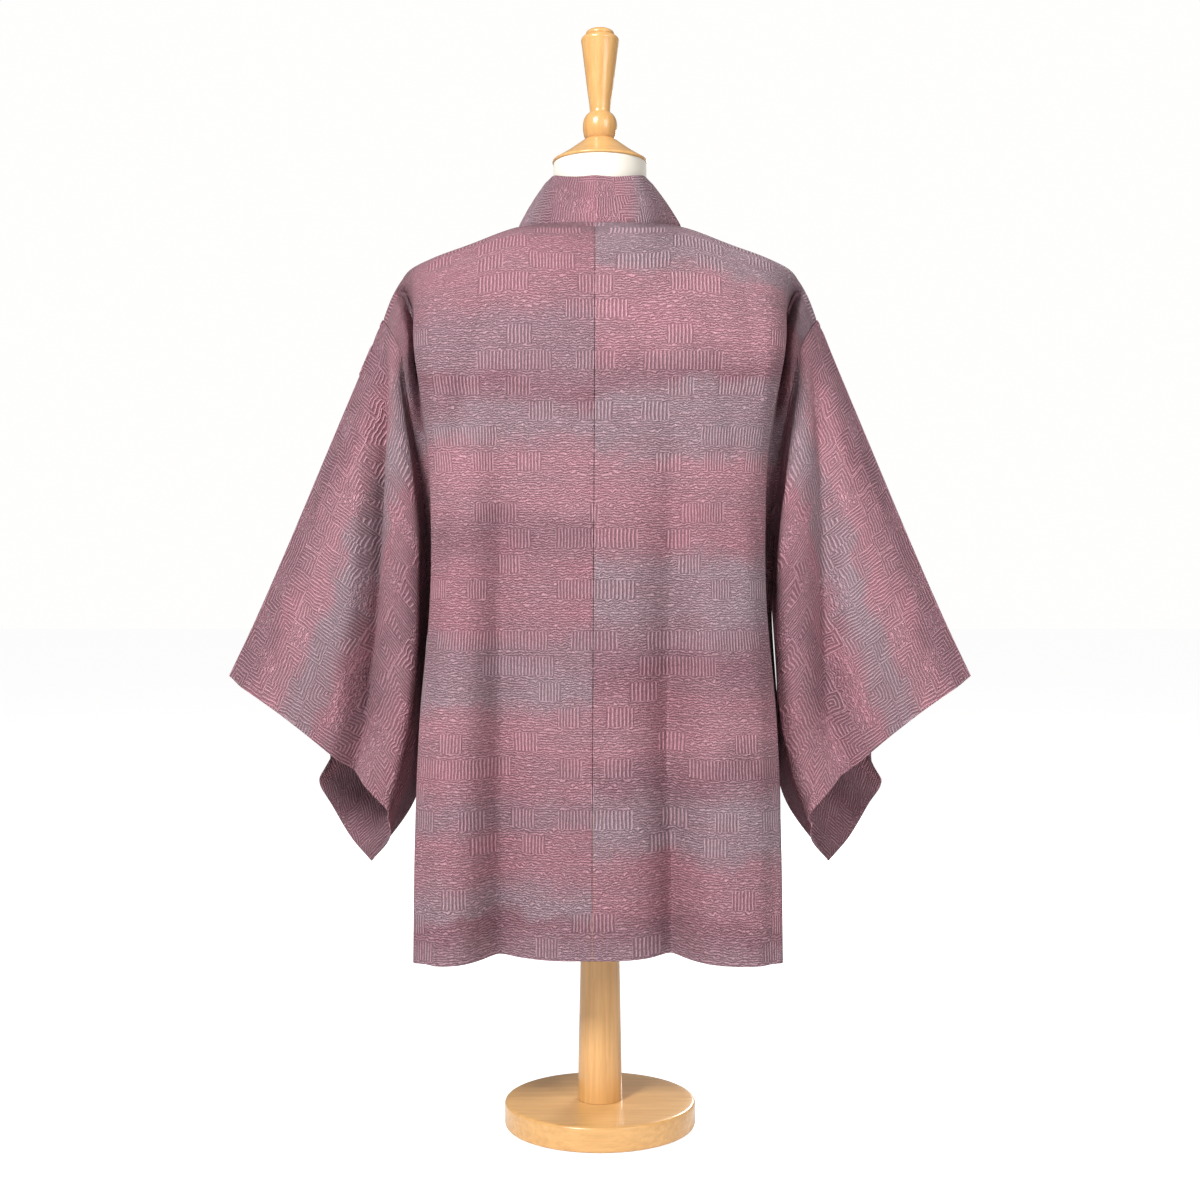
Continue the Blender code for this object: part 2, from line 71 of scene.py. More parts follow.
bpy.ops.object.select_all(action="DESELECT")
bpy.ops.mesh.primitive_plane_add(size=60, location=(0, 0, -0.0006))
floor = bpy.context.active_object
floor.name = "floor"
floor_paint, floor_tree, floor_shader = new_material("floor_paint")
floor_shader.inputs["Base Color"].default_value = (0.93, 0.93, 0.93, 1)
floor_shader.inputs["Roughness"].default_value = 0.8
floor_shader.inputs["Emission Color"].default_value = (1, 1, 1, 1)
floor_seen = floor_tree.nodes.new("ShaderNodeLightPath")
floor_lift = floor_tree.nodes.new("ShaderNodeMath")
floor_lift.operation = "MULTIPLY"
floor_lift.inputs[1].default_value = 0.76
floor_tree.links.new(floor_seen.outputs["Is Camera Ray"], floor_lift.inputs[0])
floor_tree.links.new(floor_lift.outputs[0], floor_shader.inputs["Emission Strength"])
floor.data.materials.append(floor_paint)

sky = bpy.data.worlds.new("sky")
bpy.context.scene.world = sky
sky.use_nodes = True
backdrop_light = sky.node_tree.nodes["Background"]
backdrop_light.inputs["Color"].default_value = (1.0, 0.995, 0.985, 1)
seen = sky.node_tree.nodes.new("ShaderNodeLightPath")
sky_level = sky.node_tree.nodes.new("ShaderNodeMapRange")
sky_level.inputs["To Min"].default_value = 0.23
sky_level.inputs["To Max"].default_value = 1.0
sky.node_tree.links.new(seen.outputs["Is Camera Ray"], sky_level.inputs["Value"])
sky.node_tree.links.new(sky_level.outputs["Result"], backdrop_light.inputs["Strength"])


def soft_lamp(name, place, aim, side, power):
    """A square lamp at place, turned to aim."""
    lamp_data = bpy.data.lights.new(name, "AREA")
    lamp_data.shape = "SQUARE"
    lamp_data.size = side
    lamp_data.energy = power
    lamp = bpy.data.objects.new(name, lamp_data)
    bpy.context.scene.collection.objects.link(lamp)
    lamp.location = place
    lamp.rotation_euler = (Vector(aim) - Vector(place)).to_track_quat("-Z", "Y").to_euler()
    return lamp


soft_lamp("key_lamp", (1.12, 1.75, 2.20), (0, 0, 0.55), 0.6, 77)
soft_lamp("fill_lamp", (-1.45, 1.85, 1.7), (0, 0, 0.6), 1.0, 23)
soft_lamp("front_lamp", (-0.9, -2.3, 1.20), (0, 0, 0.55), 0.8, 36)

bpy.context.scene.view_settings.view_transform = "Standard"
bpy.context.scene.view_settings.look = "None"


# The base: a turned disc of beech, its edges just rounded over, clear satin varnish. The grain runs
# straight across its top and shows as rings and short streaks round its rim.
def new_group(name, inputs, outputs):
    """An empty shader node group. inputs is {socket name: its number, or None for a vector}; outputs
    are the names of the numbers that it gives."""
    group = bpy.data.node_groups.new(name, "ShaderNodeTree")
    for socket_name, number in inputs.items():
        kind = "NodeSocketVector" if number is None else "NodeSocketFloat"
        socket = group.interface.new_socket(name=socket_name, in_out="INPUT", socket_type=kind)
        if number is not None:
            socket.default_value = number
    for socket_name in outputs:
        group.interface.new_socket(name=socket_name, in_out="OUTPUT", socket_type="NodeSocketFloat")
    return group, group.nodes.new("NodeGroupInput"), group.nodes.new("NodeGroupOutput")


def connect(tree, node, links):
    """The node's inputs linked or set: {socket name or number: source or value}."""
    for key, source in links.items():
        if isinstance(source, bpy.types.NodeSocket):
            tree.links.new(source, node.inputs[key])
        else:
            node.inputs[key].default_value = source


def add_node(tree, kind, links, **settings):
    """A node with its settings, and its inputs linked or set as in connect."""
    node = tree.nodes.new(kind)
    for key, value in settings.items():
        setattr(node, key, value)
    connect(tree, node, links)
    return node


def maths(tree, operation, a, b=0.0):
    """The result of one Math node."""
    return add_node(tree, "ShaderNodeMath", {0: a, 1: b}, operation=operation).outputs[0]


def mixed(tree, factor, first, second, blend="MIX"):
    """The two colours mixed, as one colour."""
    links = {0: factor, 6: first, 7: second}
    return add_node(tree, "ShaderNodeMix", links, data_type="RGBA", blend_type=blend).outputs[2]


def colour_ramp(tree, factor, stops, blend="LINEAR"):
    """A ColorRamp through the stops: (position, linear red, green, blue)."""
    node = add_node(tree, "ShaderNodeValToRGB", {0: factor})
    ramp = node.color_ramp
    ramp.interpolation = blend
    while len(ramp.elements) < len(stops):
        ramp.elements.new(0.5)
    for element, (position, red, green, blue) in zip(ramp.elements, stops):
        element.position = position
        element.color = (red, green, blue, 1)
    return node.outputs["Color"]


beech_grain, grain_in, grain_out = new_group(
    "beech_grain", {"Place": None, "Streak": 260.0, "Stretch": 0.05}, ("Streaks", "Flecks", "Cloud")
)
squeezed = add_node(beech_grain, "ShaderNodeCombineXYZ", {0: 1.0, 1: 1.0, 2: grain_in.outputs["Stretch"]})
along_grain = add_node(
    beech_grain,
        "ShaderNodeVectorMath", {0: grain_in.outputs["Place"], 1: squeezed.outputs[0]}, operation="MULTIPLY"
)
streak_noise = add_node(
    beech_grain, "ShaderNodeTexNoise",
    {"Vector": along_grain.outputs[0], "Scale": grain_in.outputs["Streak"], "Detail": 4.0, "Roughness": 0.62},
)
wander = add_node(
    beech_grain, "ShaderNodeTexNoise", {"Vector": along_grain.outputs[0], "Scale": 34.0, "Detail": 2.0}
)
fleck_noise = add_node(
    beech_grain, "ShaderNodeTexNoise", {"Vector": along_grain.outputs[0], "Scale": 900.0, "Detail": 1.0}
)
fleck_mask = add_node(
    beech_grain, "ShaderNodeMapRange", {0: fleck_noise.outputs["Fac"], 1: 0.60, 2: 0.72, 3: 0.0, 4: 1.0}
)
connect(beech_grain, grain_out, {
    "Streaks": streak_noise.outputs["Fac"], "Flecks": fleck_mask.outputs[0], "Cloud": wander.outputs["Fac"]
})
# The wood's colour from its dark streaks to its pale ones: place on the ramp, red, green, blue.
BEECH = ((0.25, 0.60, 0.320, 0.110), (0.50, 0.70, 0.395, 0.145), (0.75, 0.78, 0.465, 0.185))
BEECH_CLOUD = ((0.35, 0.94, 0.91, 0.87), (0.65, 1.02, 1.02, 1.02))
BEECH_FLECK = (0.30, 0.13, 0.05, 1)


def beech(name, turn, tone=1.0, streak=260.0, stretch=0.05):
    """Varnished beech. turn is the rotation that lays the grain along the piece's own length."""
    material, tree, shader = new_material(name)
    place = add_node(tree, "ShaderNodeTexCoord", {}).outputs["Object"]
    turned_place = add_node(tree, "ShaderNodeMapping", {"Vector": place, "Rotation": turn})
    grain = add_node(
        tree, "ShaderNodeGroup", {"Place": turned_place.outputs[0], "Streak": streak, "Stretch": stretch},
        node_tree=beech_grain,
    ).outputs
    wood = colour_ramp(
        tree, grain["Streaks"], [(at, *(part * tone for part in colour)) for at, *colour in BEECH]
    )
    broad = colour_ramp(tree, grain["Cloud"], BEECH_CLOUD)
    toned = mixed(tree, 1.0, wood, broad, "MULTIPLY")
    flecked = mixed(tree, maths(tree, "MULTIPLY", grain["Flecks"], 0.14), toned, BEECH_FLECK)
    gloss = add_node(tree, "ShaderNodeMapRange", {0: grain["Streaks"], 3: 0.26, 4: 0.34})
    relief = add_node(tree, "ShaderNodeBump", {"Strength": 0.12, "Distance": 0.0002, "Height": grain["Streaks"]})
    connect(tree, shader, {
        "Base Color": flecked, "Roughness": gloss.outputs[0], "Normal": relief.outputs[0],
        "Coat Weight": 0.40, "Coat Roughness": 0.22,
    })
    return material


def turn_piece(name, profile, foot, steps=96):
    """A turned piece, as on a lathe: a disc at its foot is drawn up and widened or narrowed, ring by
    ring. profile is (radius, height above the foot) from the foot to the top."""
    bpy.ops.object.select_all(action="DESELECT")
    bpy.ops.mesh.primitive_circle_add(
        vertices=steps, radius=profile[0][0], fill_type="NGON", location=(0, 0, foot + profile[0][1])
    )
    piece = bpy.context.active_object
    piece.name = name
    bpy.ops.object.transform_apply(location=True, rotation=True, scale=True)
    bpy.ops.object.mode_set(mode="EDIT")
    bpy.ops.mesh.select_all(action="SELECT")
    radius, height = profile[0]
    for next_radius, next_height in profile[1:]:
        bpy.ops.mesh.extrude_region_move(TRANSFORM_OT_translate={"value": (0, 0, next_height - height)})
        share = next_radius / radius
        bpy.ops.transform.resize(value=(share, share, 1), center_override=(0, 0, foot + next_height))
        radius, height = next_radius, next_height
    bpy.ops.mesh.select_all(action="SELECT")
    bpy.ops.mesh.normals_make_consistent(inside=False)
    bpy.ops.object.mode_set(mode="OBJECT")
    bpy.ops.object.select_all(action="DESELECT")
    piece.select_set(True)
    bpy.context.view_layer.objects.active = piece
    bpy.ops.object.shade_smooth_by_angle(angle=math.radians(38))
    return piece


def put_on(piece, material, node):
    """The piece takes its material, stands for its CAD node and rides on the one body."""
    piece.data.materials.clear()
    piece.data.materials.append(material)
    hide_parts(node)
    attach(piece, "root")


def without_repeats(points):
    """The points, less each one that only repeats the point before it."""
    return [point for i, point in enumerate(points) if i == 0 or point != points[i - 1]]


def eased(points, ways):
    """The profile through the points with smooth curves between them; a point given twice stays sharp."""
    runs = [[points[0]]]
    for before, point in zip(points, points[1:]):
        if point == before:
            runs.append([point])
        else:
            runs[-1].append(point)
    done = []
    for run in runs:
        if len(run) < 3:
            done += run
            continue
        run = np.array(run, float)
        knots = np.concatenate(((0.0,), np.cumsum(np.linalg.norm(np.diff(run, axis=0), axis=1))))
        at = [np.linspace(a, b, ways, endpoint=False) for a, b in zip(knots, knots[1:])] + [knots[-1:]]
        done += [tuple(point) for point in hermite(run, knots, np.concatenate(at))]
    return without_repeats(done)


def hermite(points, knots, at):
    """A smooth curve through the points, which stand at the knots, read at the values in at."""
    points, knots, at = np.asarray(points, float), np.asarray(knots, float), np.atleast_1d(at)
    steps = np.diff(knots)
    slopes = np.diff(points, axis=0) / steps[:, None]
    tangents = np.empty_like(points)
    tangents[0], tangents[-1] = slopes[0], slopes[-1]
    before, after = steps[:-1, None], steps[1:, None]
    tangents[1:-1] = (after * slopes[:-1] + before * slopes[1:]) / (before + after)
    i = np.clip(np.searchsorted(knots, at, side="right") - 1, 0, len(steps) - 1)
    t = ((at - knots[i]) / steps[i])[:, None]
    h = steps[i][:, None]
    return (
        (2 * t**3 - 3 * t**2 + 1) * points[i]
        + (t**3 - 2 * t**2 + t) * h * tangents[i]
        + (3 * t**2 - 2 * t**3) * points[i + 1]
        + (t**3 - t**2) * h * tangents[i + 1]
    )


BASE_HEIGHT = 0.0257
BASE_RADIUS = 0.100
BASE_EDGE = 0.003  # radius of the rounded edges
base_profile = [(0.0930, 0.0), (0.0970, 0.0)]
base_profile += [
    (BASE_RADIUS - BASE_EDGE * (1 - math.sin(a)), BASE_EDGE * (1 - math.cos(a)))
    for a in np.linspace(0.15, math.pi / 2, 5)
]
base_profile += [
    (BASE_RADIUS - BASE_EDGE * (1 - math.cos(a)), BASE_HEIGHT - BASE_EDGE * (1 - math.sin(a)))
    for a in np.linspace(0.0, math.pi / 2, 6)
]
base_profile += [(radius, BASE_HEIGHT) for radius in (0.0900, 0.0500, 0.0250)]
base = turn_piece("base_disc", without_repeats(base_profile), 0.0)
# The base's beech is painted 8% lighter: painted light, in place of light that its top doesn't get from the high
# lamps.
put_on(base, beech("beech_base", (0.0, math.pi / 2, 0.06), 1.08, 210.0, 0.06), "base")

# The post: a beech pole let into the base, tapering a little as it rises into the form.
SEAM_GAP = 0.0003
post_foot = BASE_HEIGHT + SEAM_GAP
post_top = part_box("post")[1][2]
post_height = post_top - post_foot
post_profile = [(0.0233 - 0.0053 * t, post_height * t) for t in np.linspace(0, 1, 9)]
post = turn_piece("tapered_post", post_profile, post_foot, 64)
# The post's beech is painted 8% lighter too: painted light, making up for the shadow that the jacket casts on it.
put_on(post, beech("beech_post", (0.0, 0.0, 0.0), 1.08, 230.0, 0.03), "post")

# The dress form: a limbless torso, padded and covered in tightly drawn cream cotton with a seam down
# each side. It carries the jacket on its shoulders; the neck's cloth is turned in under the cap.
NECK_TOP = 1.0090
FORM_BOTTOM = 0.3300
# The torso at its rings: height, half width, depth behind, depth in front, squareness.
FORM_RINGS = (
    (FORM_BOTTOM, 0.110, 0.054, 0.046, 2.0),
    (0.3400, 0.130, 0.066, 0.054, 2.0),
    (0.4200, 0.136, 0.071, 0.058, 2.0),
    (0.5000, 0.130, 0.070, 0.062, 2.0),
    (0.5900, 0.122, 0.069, 0.068, 2.1),
    (0.6600, 0.132, 0.073, 0.082, 2.3),
    (0.7400, 0.152, 0.082, 0.100, 2.4),
    (0.8000, 0.168, 0.082, 0.090, 2.5),
    (0.8600, 0.178, 0.074, 0.074, 2.4),
    (0.8900, 0.181, 0.062, 0.060, 2.3),
    (0.9055, 0.170, 0.055, 0.052, 2.2),
    (0.9170, 0.139, 0.052, 0.050, 2.0),
    (0.9300, 0.098, 0.0510, 0.0500, 2.0),
    (0.9400, 0.070, 0.0510, 0.0505, 2.0),
    (0.9510, 0.0590, 0.0515, 0.0515, 2.0),
    (0.9670, 0.0520, 0.0510, 0.0510, 2.0),
    (0.9800, 0.0490, 0.0490, 0.0490, 2.0),
    (NECK_TOP, 0.0489, 0.0489, 0.0489, 2.0),
)
ring_heights = np.array([row[0] for row in FORM_RINGS])
form_heights = np.concatenate((
    ring_heights[:2], np.linspace(0.337, 0.90, 58), np.linspace(0.903, NECK_TOP, 34)
))
ring_sizes = np.array(FORM_RINGS)[:, 1:].T
form_rows = np.array([np.interp(form_heights, ring_heights, sizes) for sizes in ring_sizes]).T
for _ in range(3):
    form_rows[1:-1] = (form_rows[:-2] + 2 * form_rows[1:-1] + form_rows[2:]) / 4
form = turn_piece("dress_form_cover", [(1.0, height) for height in form_heights], 0.0)
spots = np.array([vertex.co[:] for vertex in form.data.vertices])
near = np.argmin(np.abs(spots[:, 2:] - form_heights[None]), axis=1)
angle = np.arctan2(spots[:, 1], spots[:, 0])
half_width, back, front, square = form_rows[near].T
depth = np.where(angle >= 0, back, front)
cosine, sine = np.cos(angle), np.sin(angle)
tuck = 0.0006 * np.exp(-((np.abs(np.abs(angle) - math.pi / 2) - math.pi / 2) / 0.02) ** 2)
spots[:, 0] = (half_width - tuck) * np.sign(cosine) * np.abs(cosine) ** (2 / square)
spots[:, 1] = depth * np.sign(sine) * np.abs(sine) ** (2 / square)
form.data.vertices.foreach_set("co", spots.ravel())
form.data.update()
bpy.ops.object.shade_smooth_by_angle(angle=math.radians(50))

cotton, cotton_tree, cotton_shader = new_material("cream_cotton")
cotton_place = add_node(cotton_tree, "ShaderNodeTexCoord", {}).outputs["Object"]
cotton_wave = {"Vector": cotton_place, "Scale": 330.0, "Distortion": 0.4, "Detail Scale": 2.0}
cotton_threads = [
    add_node(cotton_tree, "ShaderNodeTexWave", cotton_wave, bands_direction=direction).outputs["Fac"]
    for direction in ("Z", "DIAGONAL")
]
cotton_weave = maths(cotton_tree, "MULTIPLY", *cotton_threads)
cotton_cloud = add_node(cotton_tree, "ShaderNodeTexNoise", {"Vector": cotton_place, "Scale": 9.0, "Detail": 3.0})
cotton_colour = colour_ramp(
    cotton_tree, cotton_cloud.outputs["Fac"], [(0.3, 0.77, 0.725, 0.63), (0.7, 0.84, 0.80, 0.715)]
)
cotton_bump = add_node(
    cotton_tree, "ShaderNodeBump", {"Strength": 0.35, "Distance": 0.0002, "Height": cotton_weave}
)
connect(cotton_tree, cotton_shader, {
    "Base Color": cotton_colour, "Normal": cotton_bump.outputs[0], "Roughness": 0.88, "Sheen Weight": 0.15
})
put_on(form, cotton, "dress_form")

# The neck cap: a turned beech lid with a thin rounded lip, pressed on to the end of the neck. Its top
# sweeps up in a hollow cone to the finial.
cap_foot = NECK_TOP + SEAM_GAP
cap_profile = eased([
    (0.0470, 0.0000), (0.0488, 0.0000), (0.0488, 0.0000), (0.0497, 0.0004), (0.0501, 0.0014), (0.0497, 0.0026),
    (0.0462, 0.0050), (0.0395, 0.0092), (0.0330, 0.0134), (0.0275, 0.0174), (0.0225, 0.0210), (0.0185, 0.0240),
    (0.0163, 0.0255), (0.0163, 0.0255), (0.0080, 0.0255),
], 3)
cap = turn_piece("neck_cap_lid", cap_profile, cap_foot)
put_on(cap, beech("beech_cap", (0.0, math.pi / 2, 0.12), 1.03, 200.0, 0.06), "neck_cap")

# The finial: a ball and a tapered handle turned from one stick of beech, with a little domed knob
# above a groove at its end, screwed into the cap.
finial_profile = eased([
    (0.0120, 0.0000), (0.0148, 0.0000), (0.0148, 0.0000), (0.0163, 0.0025), (0.0174, 0.0065), (0.0181, 0.0132),
    (0.0174, 0.0195), (0.0160, 0.0232), (0.0138, 0.0262), (0.0108, 0.0284), (0.0108, 0.0284), (0.0107, 0.0300),
    (0.0109, 0.0330), (0.0135, 0.0530), (0.0166, 0.0780), (0.0196, 0.1015), (0.0200, 0.1040), (0.0196, 0.1058),
    (0.0183, 0.1076), (0.0155, 0.1090), (0.0155, 0.1090), (0.0147, 0.1096), (0.0147, 0.1096), (0.0150, 0.1102),
    (0.0150, 0.1114), (0.0141, 0.1133), (0.0118, 0.1149), (0.0078, 0.1161), (0.0030, 0.1167),
], 4)
finial = turn_piece("finial_handle", finial_profile, cap_foot + 0.0255 + SEAM_GAP)
put_on(finial, beech("beech_finial", (0.0, 0.0, 0.4), 1.0, 250.0, 0.04), "finial")

# The body, left and right: each side is one length of figured silk crepe, from the hem at the back
# over the shoulder to the hem in front, with no seam on the shoulder. The two meet in the seam down
# the middle of the back, and each is cut away for the neck. It hangs from the form's shoulders.
CLOTH = 0.0013
CENTRE_SEAM_TOP = 0.0050  # the back seam stands a little to the left of the middle
CENTRE_SEAM_HEM = 0.0078
SIDE_SHIFT = 0.0012  # the body hangs a little to the left
# Where the columns of a body panel lie on the cloth, from the middle of the back to the sleeve seam.
COLUMNS = ("centre", "neck_mid", "neck", "mid", "round", "roll", "wall", "crease", "edge")
COLUMN_AT = (0.0, 0.045, 0.085, 0.140, 0.175, 0.195, 0.225, 0.250, 0.275)
NECK_AT = COLUMN_AT[2]

# The shoulder line, where each column passes from the back to the front: x, y, z.
RIDGE = {
    "centre": (0.0000, 0.0750, 0.9320),
    "neck_mid": (0.0470, 0.0600, 0.9345),
    "neck": (0.0860, 0.0000, 0.9435),
    "mid": (0.1400, 0.0000, 0.9240),
    "round": (0.1765, 0.0000, 0.9105),
    "roll": (0.1960, 0.0000, 0.9010),
    "wall": (0.2095, 0.0000, 0.8865),
    "crease": (0.2195, 0.0000, 0.8690),
    "edge": (0.2285, 0.0000, 0.8455),
}
# The armhole seam between the shoulder line and the blade level: share of the way, x, y, z.
ARMHOLE_TOP = ((1 / 3, 0.2179, 0.0220, 0.8307), (2 / 3, 0.2059, 0.0350, 0.8076))

# Half of the body at its levels. back and front: depth of the middle of the panel. side: half width.
# corner: y of the rounded corner. wall_y, crease, edge: the panel's last stretch, behind the corner.
# drop: how far the crease and the edge hang below the level. opening: x of the front edge.
LEVEL_COLUMNS = (
    "z", "back", "front", "side", "corner", "wall_y",
    "crease_x", "crease_y", "edge_x", "edge_y", "drop", "opening",
)
LEVELS = {
    "blade": (0.8000, 0.098, 0.112, 0.1865, 0.078, 0.045, 0.1920, 0.022, 0.2002, 0.0320, 0.0292, 0.084),
    "chest": (0.7100, 0.103, 0.118, 0.1725, 0.082, 0.048, 0.1785, 0.028, 0.1889, 0.0240, 0.0090, 0.086),
    "underarm": (0.6414, 0.104, 0.118, 0.1685, 0.085, 0.050, 0.1740, 0.026, 0.1820, 0.0130, 0.0000, 0.088),
    "waist": (0.5450, 0.103, 0.114, 0.1690, 0.087, 0.055, 0.1735, 0.032, 0.1755, 0.0150, 0.0000, 0.091),
    "hip": (0.4300, 0.101, 0.112, 0.1785, 0.090, 0.062, 0.1810, 0.040, 0.1820, 0.0210, 0.0000, 0.095),
    "low": (0.3100, 0.101, 0.112, 0.1820, 0.102, 0.070, 0.1840, 0.048, 0.1850, 0.0280, 0.0000, 0.098),
    "hem": (0.1915, 0.102, 0.112, 0.1820, 0.116, 0.080, 0.1840, 0.056, 0.1850, 0.0350, 0.0000, 0.100),
}
RIGHT_SIDE = 0.992  # the right half is this much narrower than the left
FOLD_COLUMNS = ("x_top", "z_top", "x_hem", "z_low", "half_width", "depth")
# Soft folds of the back, left side positive: a ridge has a positive depth and a trough a negative one.
BACK_FOLDS = {
    "left_bulge": (0.120, 0.620, 0.143, 0.10, 0.036, 0.030),
    "left_trough": (0.092, 0.700, 0.098, 0.10, 0.016, -0.009),
    "left_drag": (0.118, 0.860, 0.168, 0.56, 0.014, -0.006),
    "right_trough": (-0.066, 0.700, -0.074, 0.10, 0.018, -0.010),
    "right_bulge": (-0.120, 0.620, -0.138, 0.10, 0.036, 0.030),
    "right_drag": (-0.140, 0.850, -0.160, 0.58, 0.012, -0.005),
}
FRONT_FOLDS = {
    "left_front": (0.135, 0.620, 0.140, 0.10, 0.024, 0.016),
    "right_front": (-0.132, 0.640, -0.136, 0.10, 0.024, 0.017),
}
FOLD_FADE = 0.14  # a fold fades in over this height
# Finer folds, as they fall. Each path runs down the cloth as (height, distance from the middle,
# how far the cloth moves outwards), then how wide the fold is to its right and to its left.
BACK_CREASES = {
    "left_valley": (((0.76, 0.094, 0.0), (0.66, 0.098, -0.011), (0.53, 0.1015, -0.022), (0.42, 0.102, -0.032),
        (0.19, 0.1025, -0.034)), 0.021, 0.022),
    "left_shelf": (((0.64, 0.068, 0.0), (0.52, 0.070, -0.003), (0.38, 0.072, -0.007), (0.19, 0.074, -0.006)),
        0.020, 0.030),
    "left_crest": (((0.74, 0.124, 0.0), (0.66, 0.128, 0.004), (0.45, 0.134, 0.003), (0.19, 0.136, 0.002)),
        0.018, 0.020),
    "left_pull": (((0.865, 0.114, 0.0), (0.825, 0.119, -0.0035), (0.760, 0.136, -0.0045), (0.660, 0.152, -0.003),
        (0.58, 0.160, 0.0)), 0.012, 0.012),
    "right_valley": (((0.78, -0.073, 0.0), (0.66, -0.0745, -0.014), (0.53, -0.0725, -0.024),
        (0.42, -0.0695, -0.029), (0.30, -0.0730, -0.032), (0.19, -0.0725, -0.034)), 0.015, 0.020),
    "right_crest": (((0.72, -0.100, 0.0), (0.62, -0.102, 0.003), (0.45, -0.108, 0.003), (0.19, -0.110, 0.003)),
        0.018, 0.014),
    "right_pull": (((0.870, -0.108, 0.0), (0.822, -0.114, -0.0040), (0.770, -0.124, -0.0040),
        (0.690, -0.139, -0.003), (0.60, -0.148, 0.0)), 0.011, 0.011),
    "right_side_pull": (((0.890, -0.146, 0.0), (0.850, -0.150, -0.004), (0.770, -0.158, -0.004),
        (0.68, -0.160, 0.0)), 0.008, 0.010),
    "middle_left": (((0.600, 0.032, 0.0), (0.440, 0.034, 0.0016), (0.230, 0.030, 0.001)), 0.015, 0.013),
    "middle_right": (((0.560, -0.026, 0.0), (0.380, -0.030, 0.0015), (0.200, -0.028, 0.001)), 0.013, 0.015),
}
FRONT_CREASES = {
    "left_front_valley": (((0.720, 0.108, 0.0), (0.560, 0.114, -0.008), (0.380, 0.118, -0.013),
        (0.19, 0.118, -0.013)), 0.014, 0.022),
    "left_front_crest": (((0.680, 0.142, 0.0), (0.450, 0.146, 0.004), (0.19, 0.146, 0.003)), 0.020, 0.018),
    "left_front_pull": (((0.870, 0.108, 0.0), (0.820, 0.118, -0.004), (0.720, 0.140, -0.004), (0.640, 0.152, 0.0)),
        0.011, 0.011),
    "right_front_valley": (((0.700, -0.112, 0.0), (0.540, -0.116, -0.009), (0.360, -0.114, -0.014),
        (0.19, -0.117, -0.014)), 0.024, 0.014),
    "right_front_crest": (((0.660, -0.142, 0.0), (0.420, -0.148, 0.004), (0.19, -0.148, 0.003)), 0.018, 0.020),
    "right_front_pull": (((0.875, -0.114, 0.0), (0.830, -0.122, -0.004), (0.740, -0.142, -0.004),
        (0.650, -0.154, 0.0)), 0.011, 0.011),
}
VALLEY_ROUND = 0.22  # how round the bottom of a valley is, as a share of its width
# The same for the panel's side, by (distance from the shoulder line, distance from the back's middle).
SIDE_CREASES = {
    "shoulder_groove": (((0.008, 0.2385, 0.0), (0.026, 0.2385, -0.008), (0.050, 0.2385, -0.021),
        (0.088, 0.2400, -0.028), (0.150, 0.243, -0.022), (0.24, 0.250, -0.006), (0.30, 0.252, 0.0)),
        0.0055, 0.0065),
    "cap_ridge": (((0.002, 0.2500, 0.0), (0.030, 0.2530, 0.010), (0.070, 0.2550, 0.018), (0.120, 0.2570, 0.016),
        (0.19, 0.262, 0.006), (0.25, 0.266, 0)), 0.008, 0.012),
    "corner_round": (((0.170, 0.196, 0.0), (0.260, 0.194, -0.006), (0.420, 0.194, -0.007), (0.620, 0.192, -0.005),
        (0.800, 0.190, -0.002)), 0.022, 0.016),
}


def smooth_step(value):
    """Eased from 0 to 1 as the value goes from 0 to 1, and level beyond."""
    value = np.clip(value, 0.0, 1.0)
    return value * value * (3 - 2 * value)


def folds_at(x, z, folds):
    """How far the folds move the cloth outwards at x, z."""
    moved = np.zeros_like(x)
    for row in folds.values():
        fold = dict(zip(FOLD_COLUMNS, row))
        down = np.clip((fold["z_top"] - z) / (fold["z_top"] - fold["z_low"]), 0, 1)
        middle = fold["x_top"] + (fold["x_hem"] - fold["x_top"]) * down
        fade = smooth_step((fold["z_top"] - z) / FOLD_FADE) * smooth_step((z - fold["z_low"]) / 0.06)
        grow = 0.35 + 0.65 * down
        moved += fold["depth"] * fade * grow * np.exp(-(((x - middle) / fold["half_width"]) ** 2))
    return moved


def creases_at(along, across, creases):
    """How far the creases move the cloth outwards at each point. Valleys are sharp and crests round."""
    moved = np.zeros_like(along)
    for path, right_width, left_width in creases.values():
        path = sorted(path)
        centre, depth = (np.interp(along, [p[0] for p in path], [p[k] for p in path]) for k in (1, 2))
        off = (across - centre) / np.where(across < centre, right_width, left_width)
        valley = np.exp(VALLEY_ROUND - np.sqrt(off**2 + VALLEY_ROUND**2) - 0.10 * off**2)
        moved += depth * np.where(depth < 0, valley, np.exp(-(off**2)))
    return moved


def level(name):
    """One level's sizes, by the names of its columns."""
    return dict(zip(LEVEL_COLUMNS, LEVELS[name]))


def level_point(name, column, front):
    """A control point of the left half, before its back seam and its side are shifted."""
    at = level(name)
    depth = at["front"] if front else at["back"]
    corner = at["corner"] + (depth - at["back"])
    inner = at["opening"] if front else 0.085
    outer = at["side"] - 0.013
    x, y, z = {
        "centre": (0.0, depth, at["z"]),
        "neck_mid": (0.045, depth, at["z"]),
        "neck": (inner, depth, at["z"]),
        "mid": (inner + 0.62 * (outer - inner), depth - 0.002, at["z"]),
        "round": (outer, (depth + corner) / 2 + 0.002, at["z"]),
        "roll": (at["side"], corner - 0.004, at["z"]),
        "wall": (at["side"] + 0.0015, at["wall_y"], at["z"]),
        "crease": (at["crease_x"], at["crease_y"], at["z"] - 0.6 * at["drop"]),
        "edge": (at["edge_x"], at["edge_y"], at["z"] - at["drop"]),
    }[column]
    return np.array((x, -y if front else y, z))


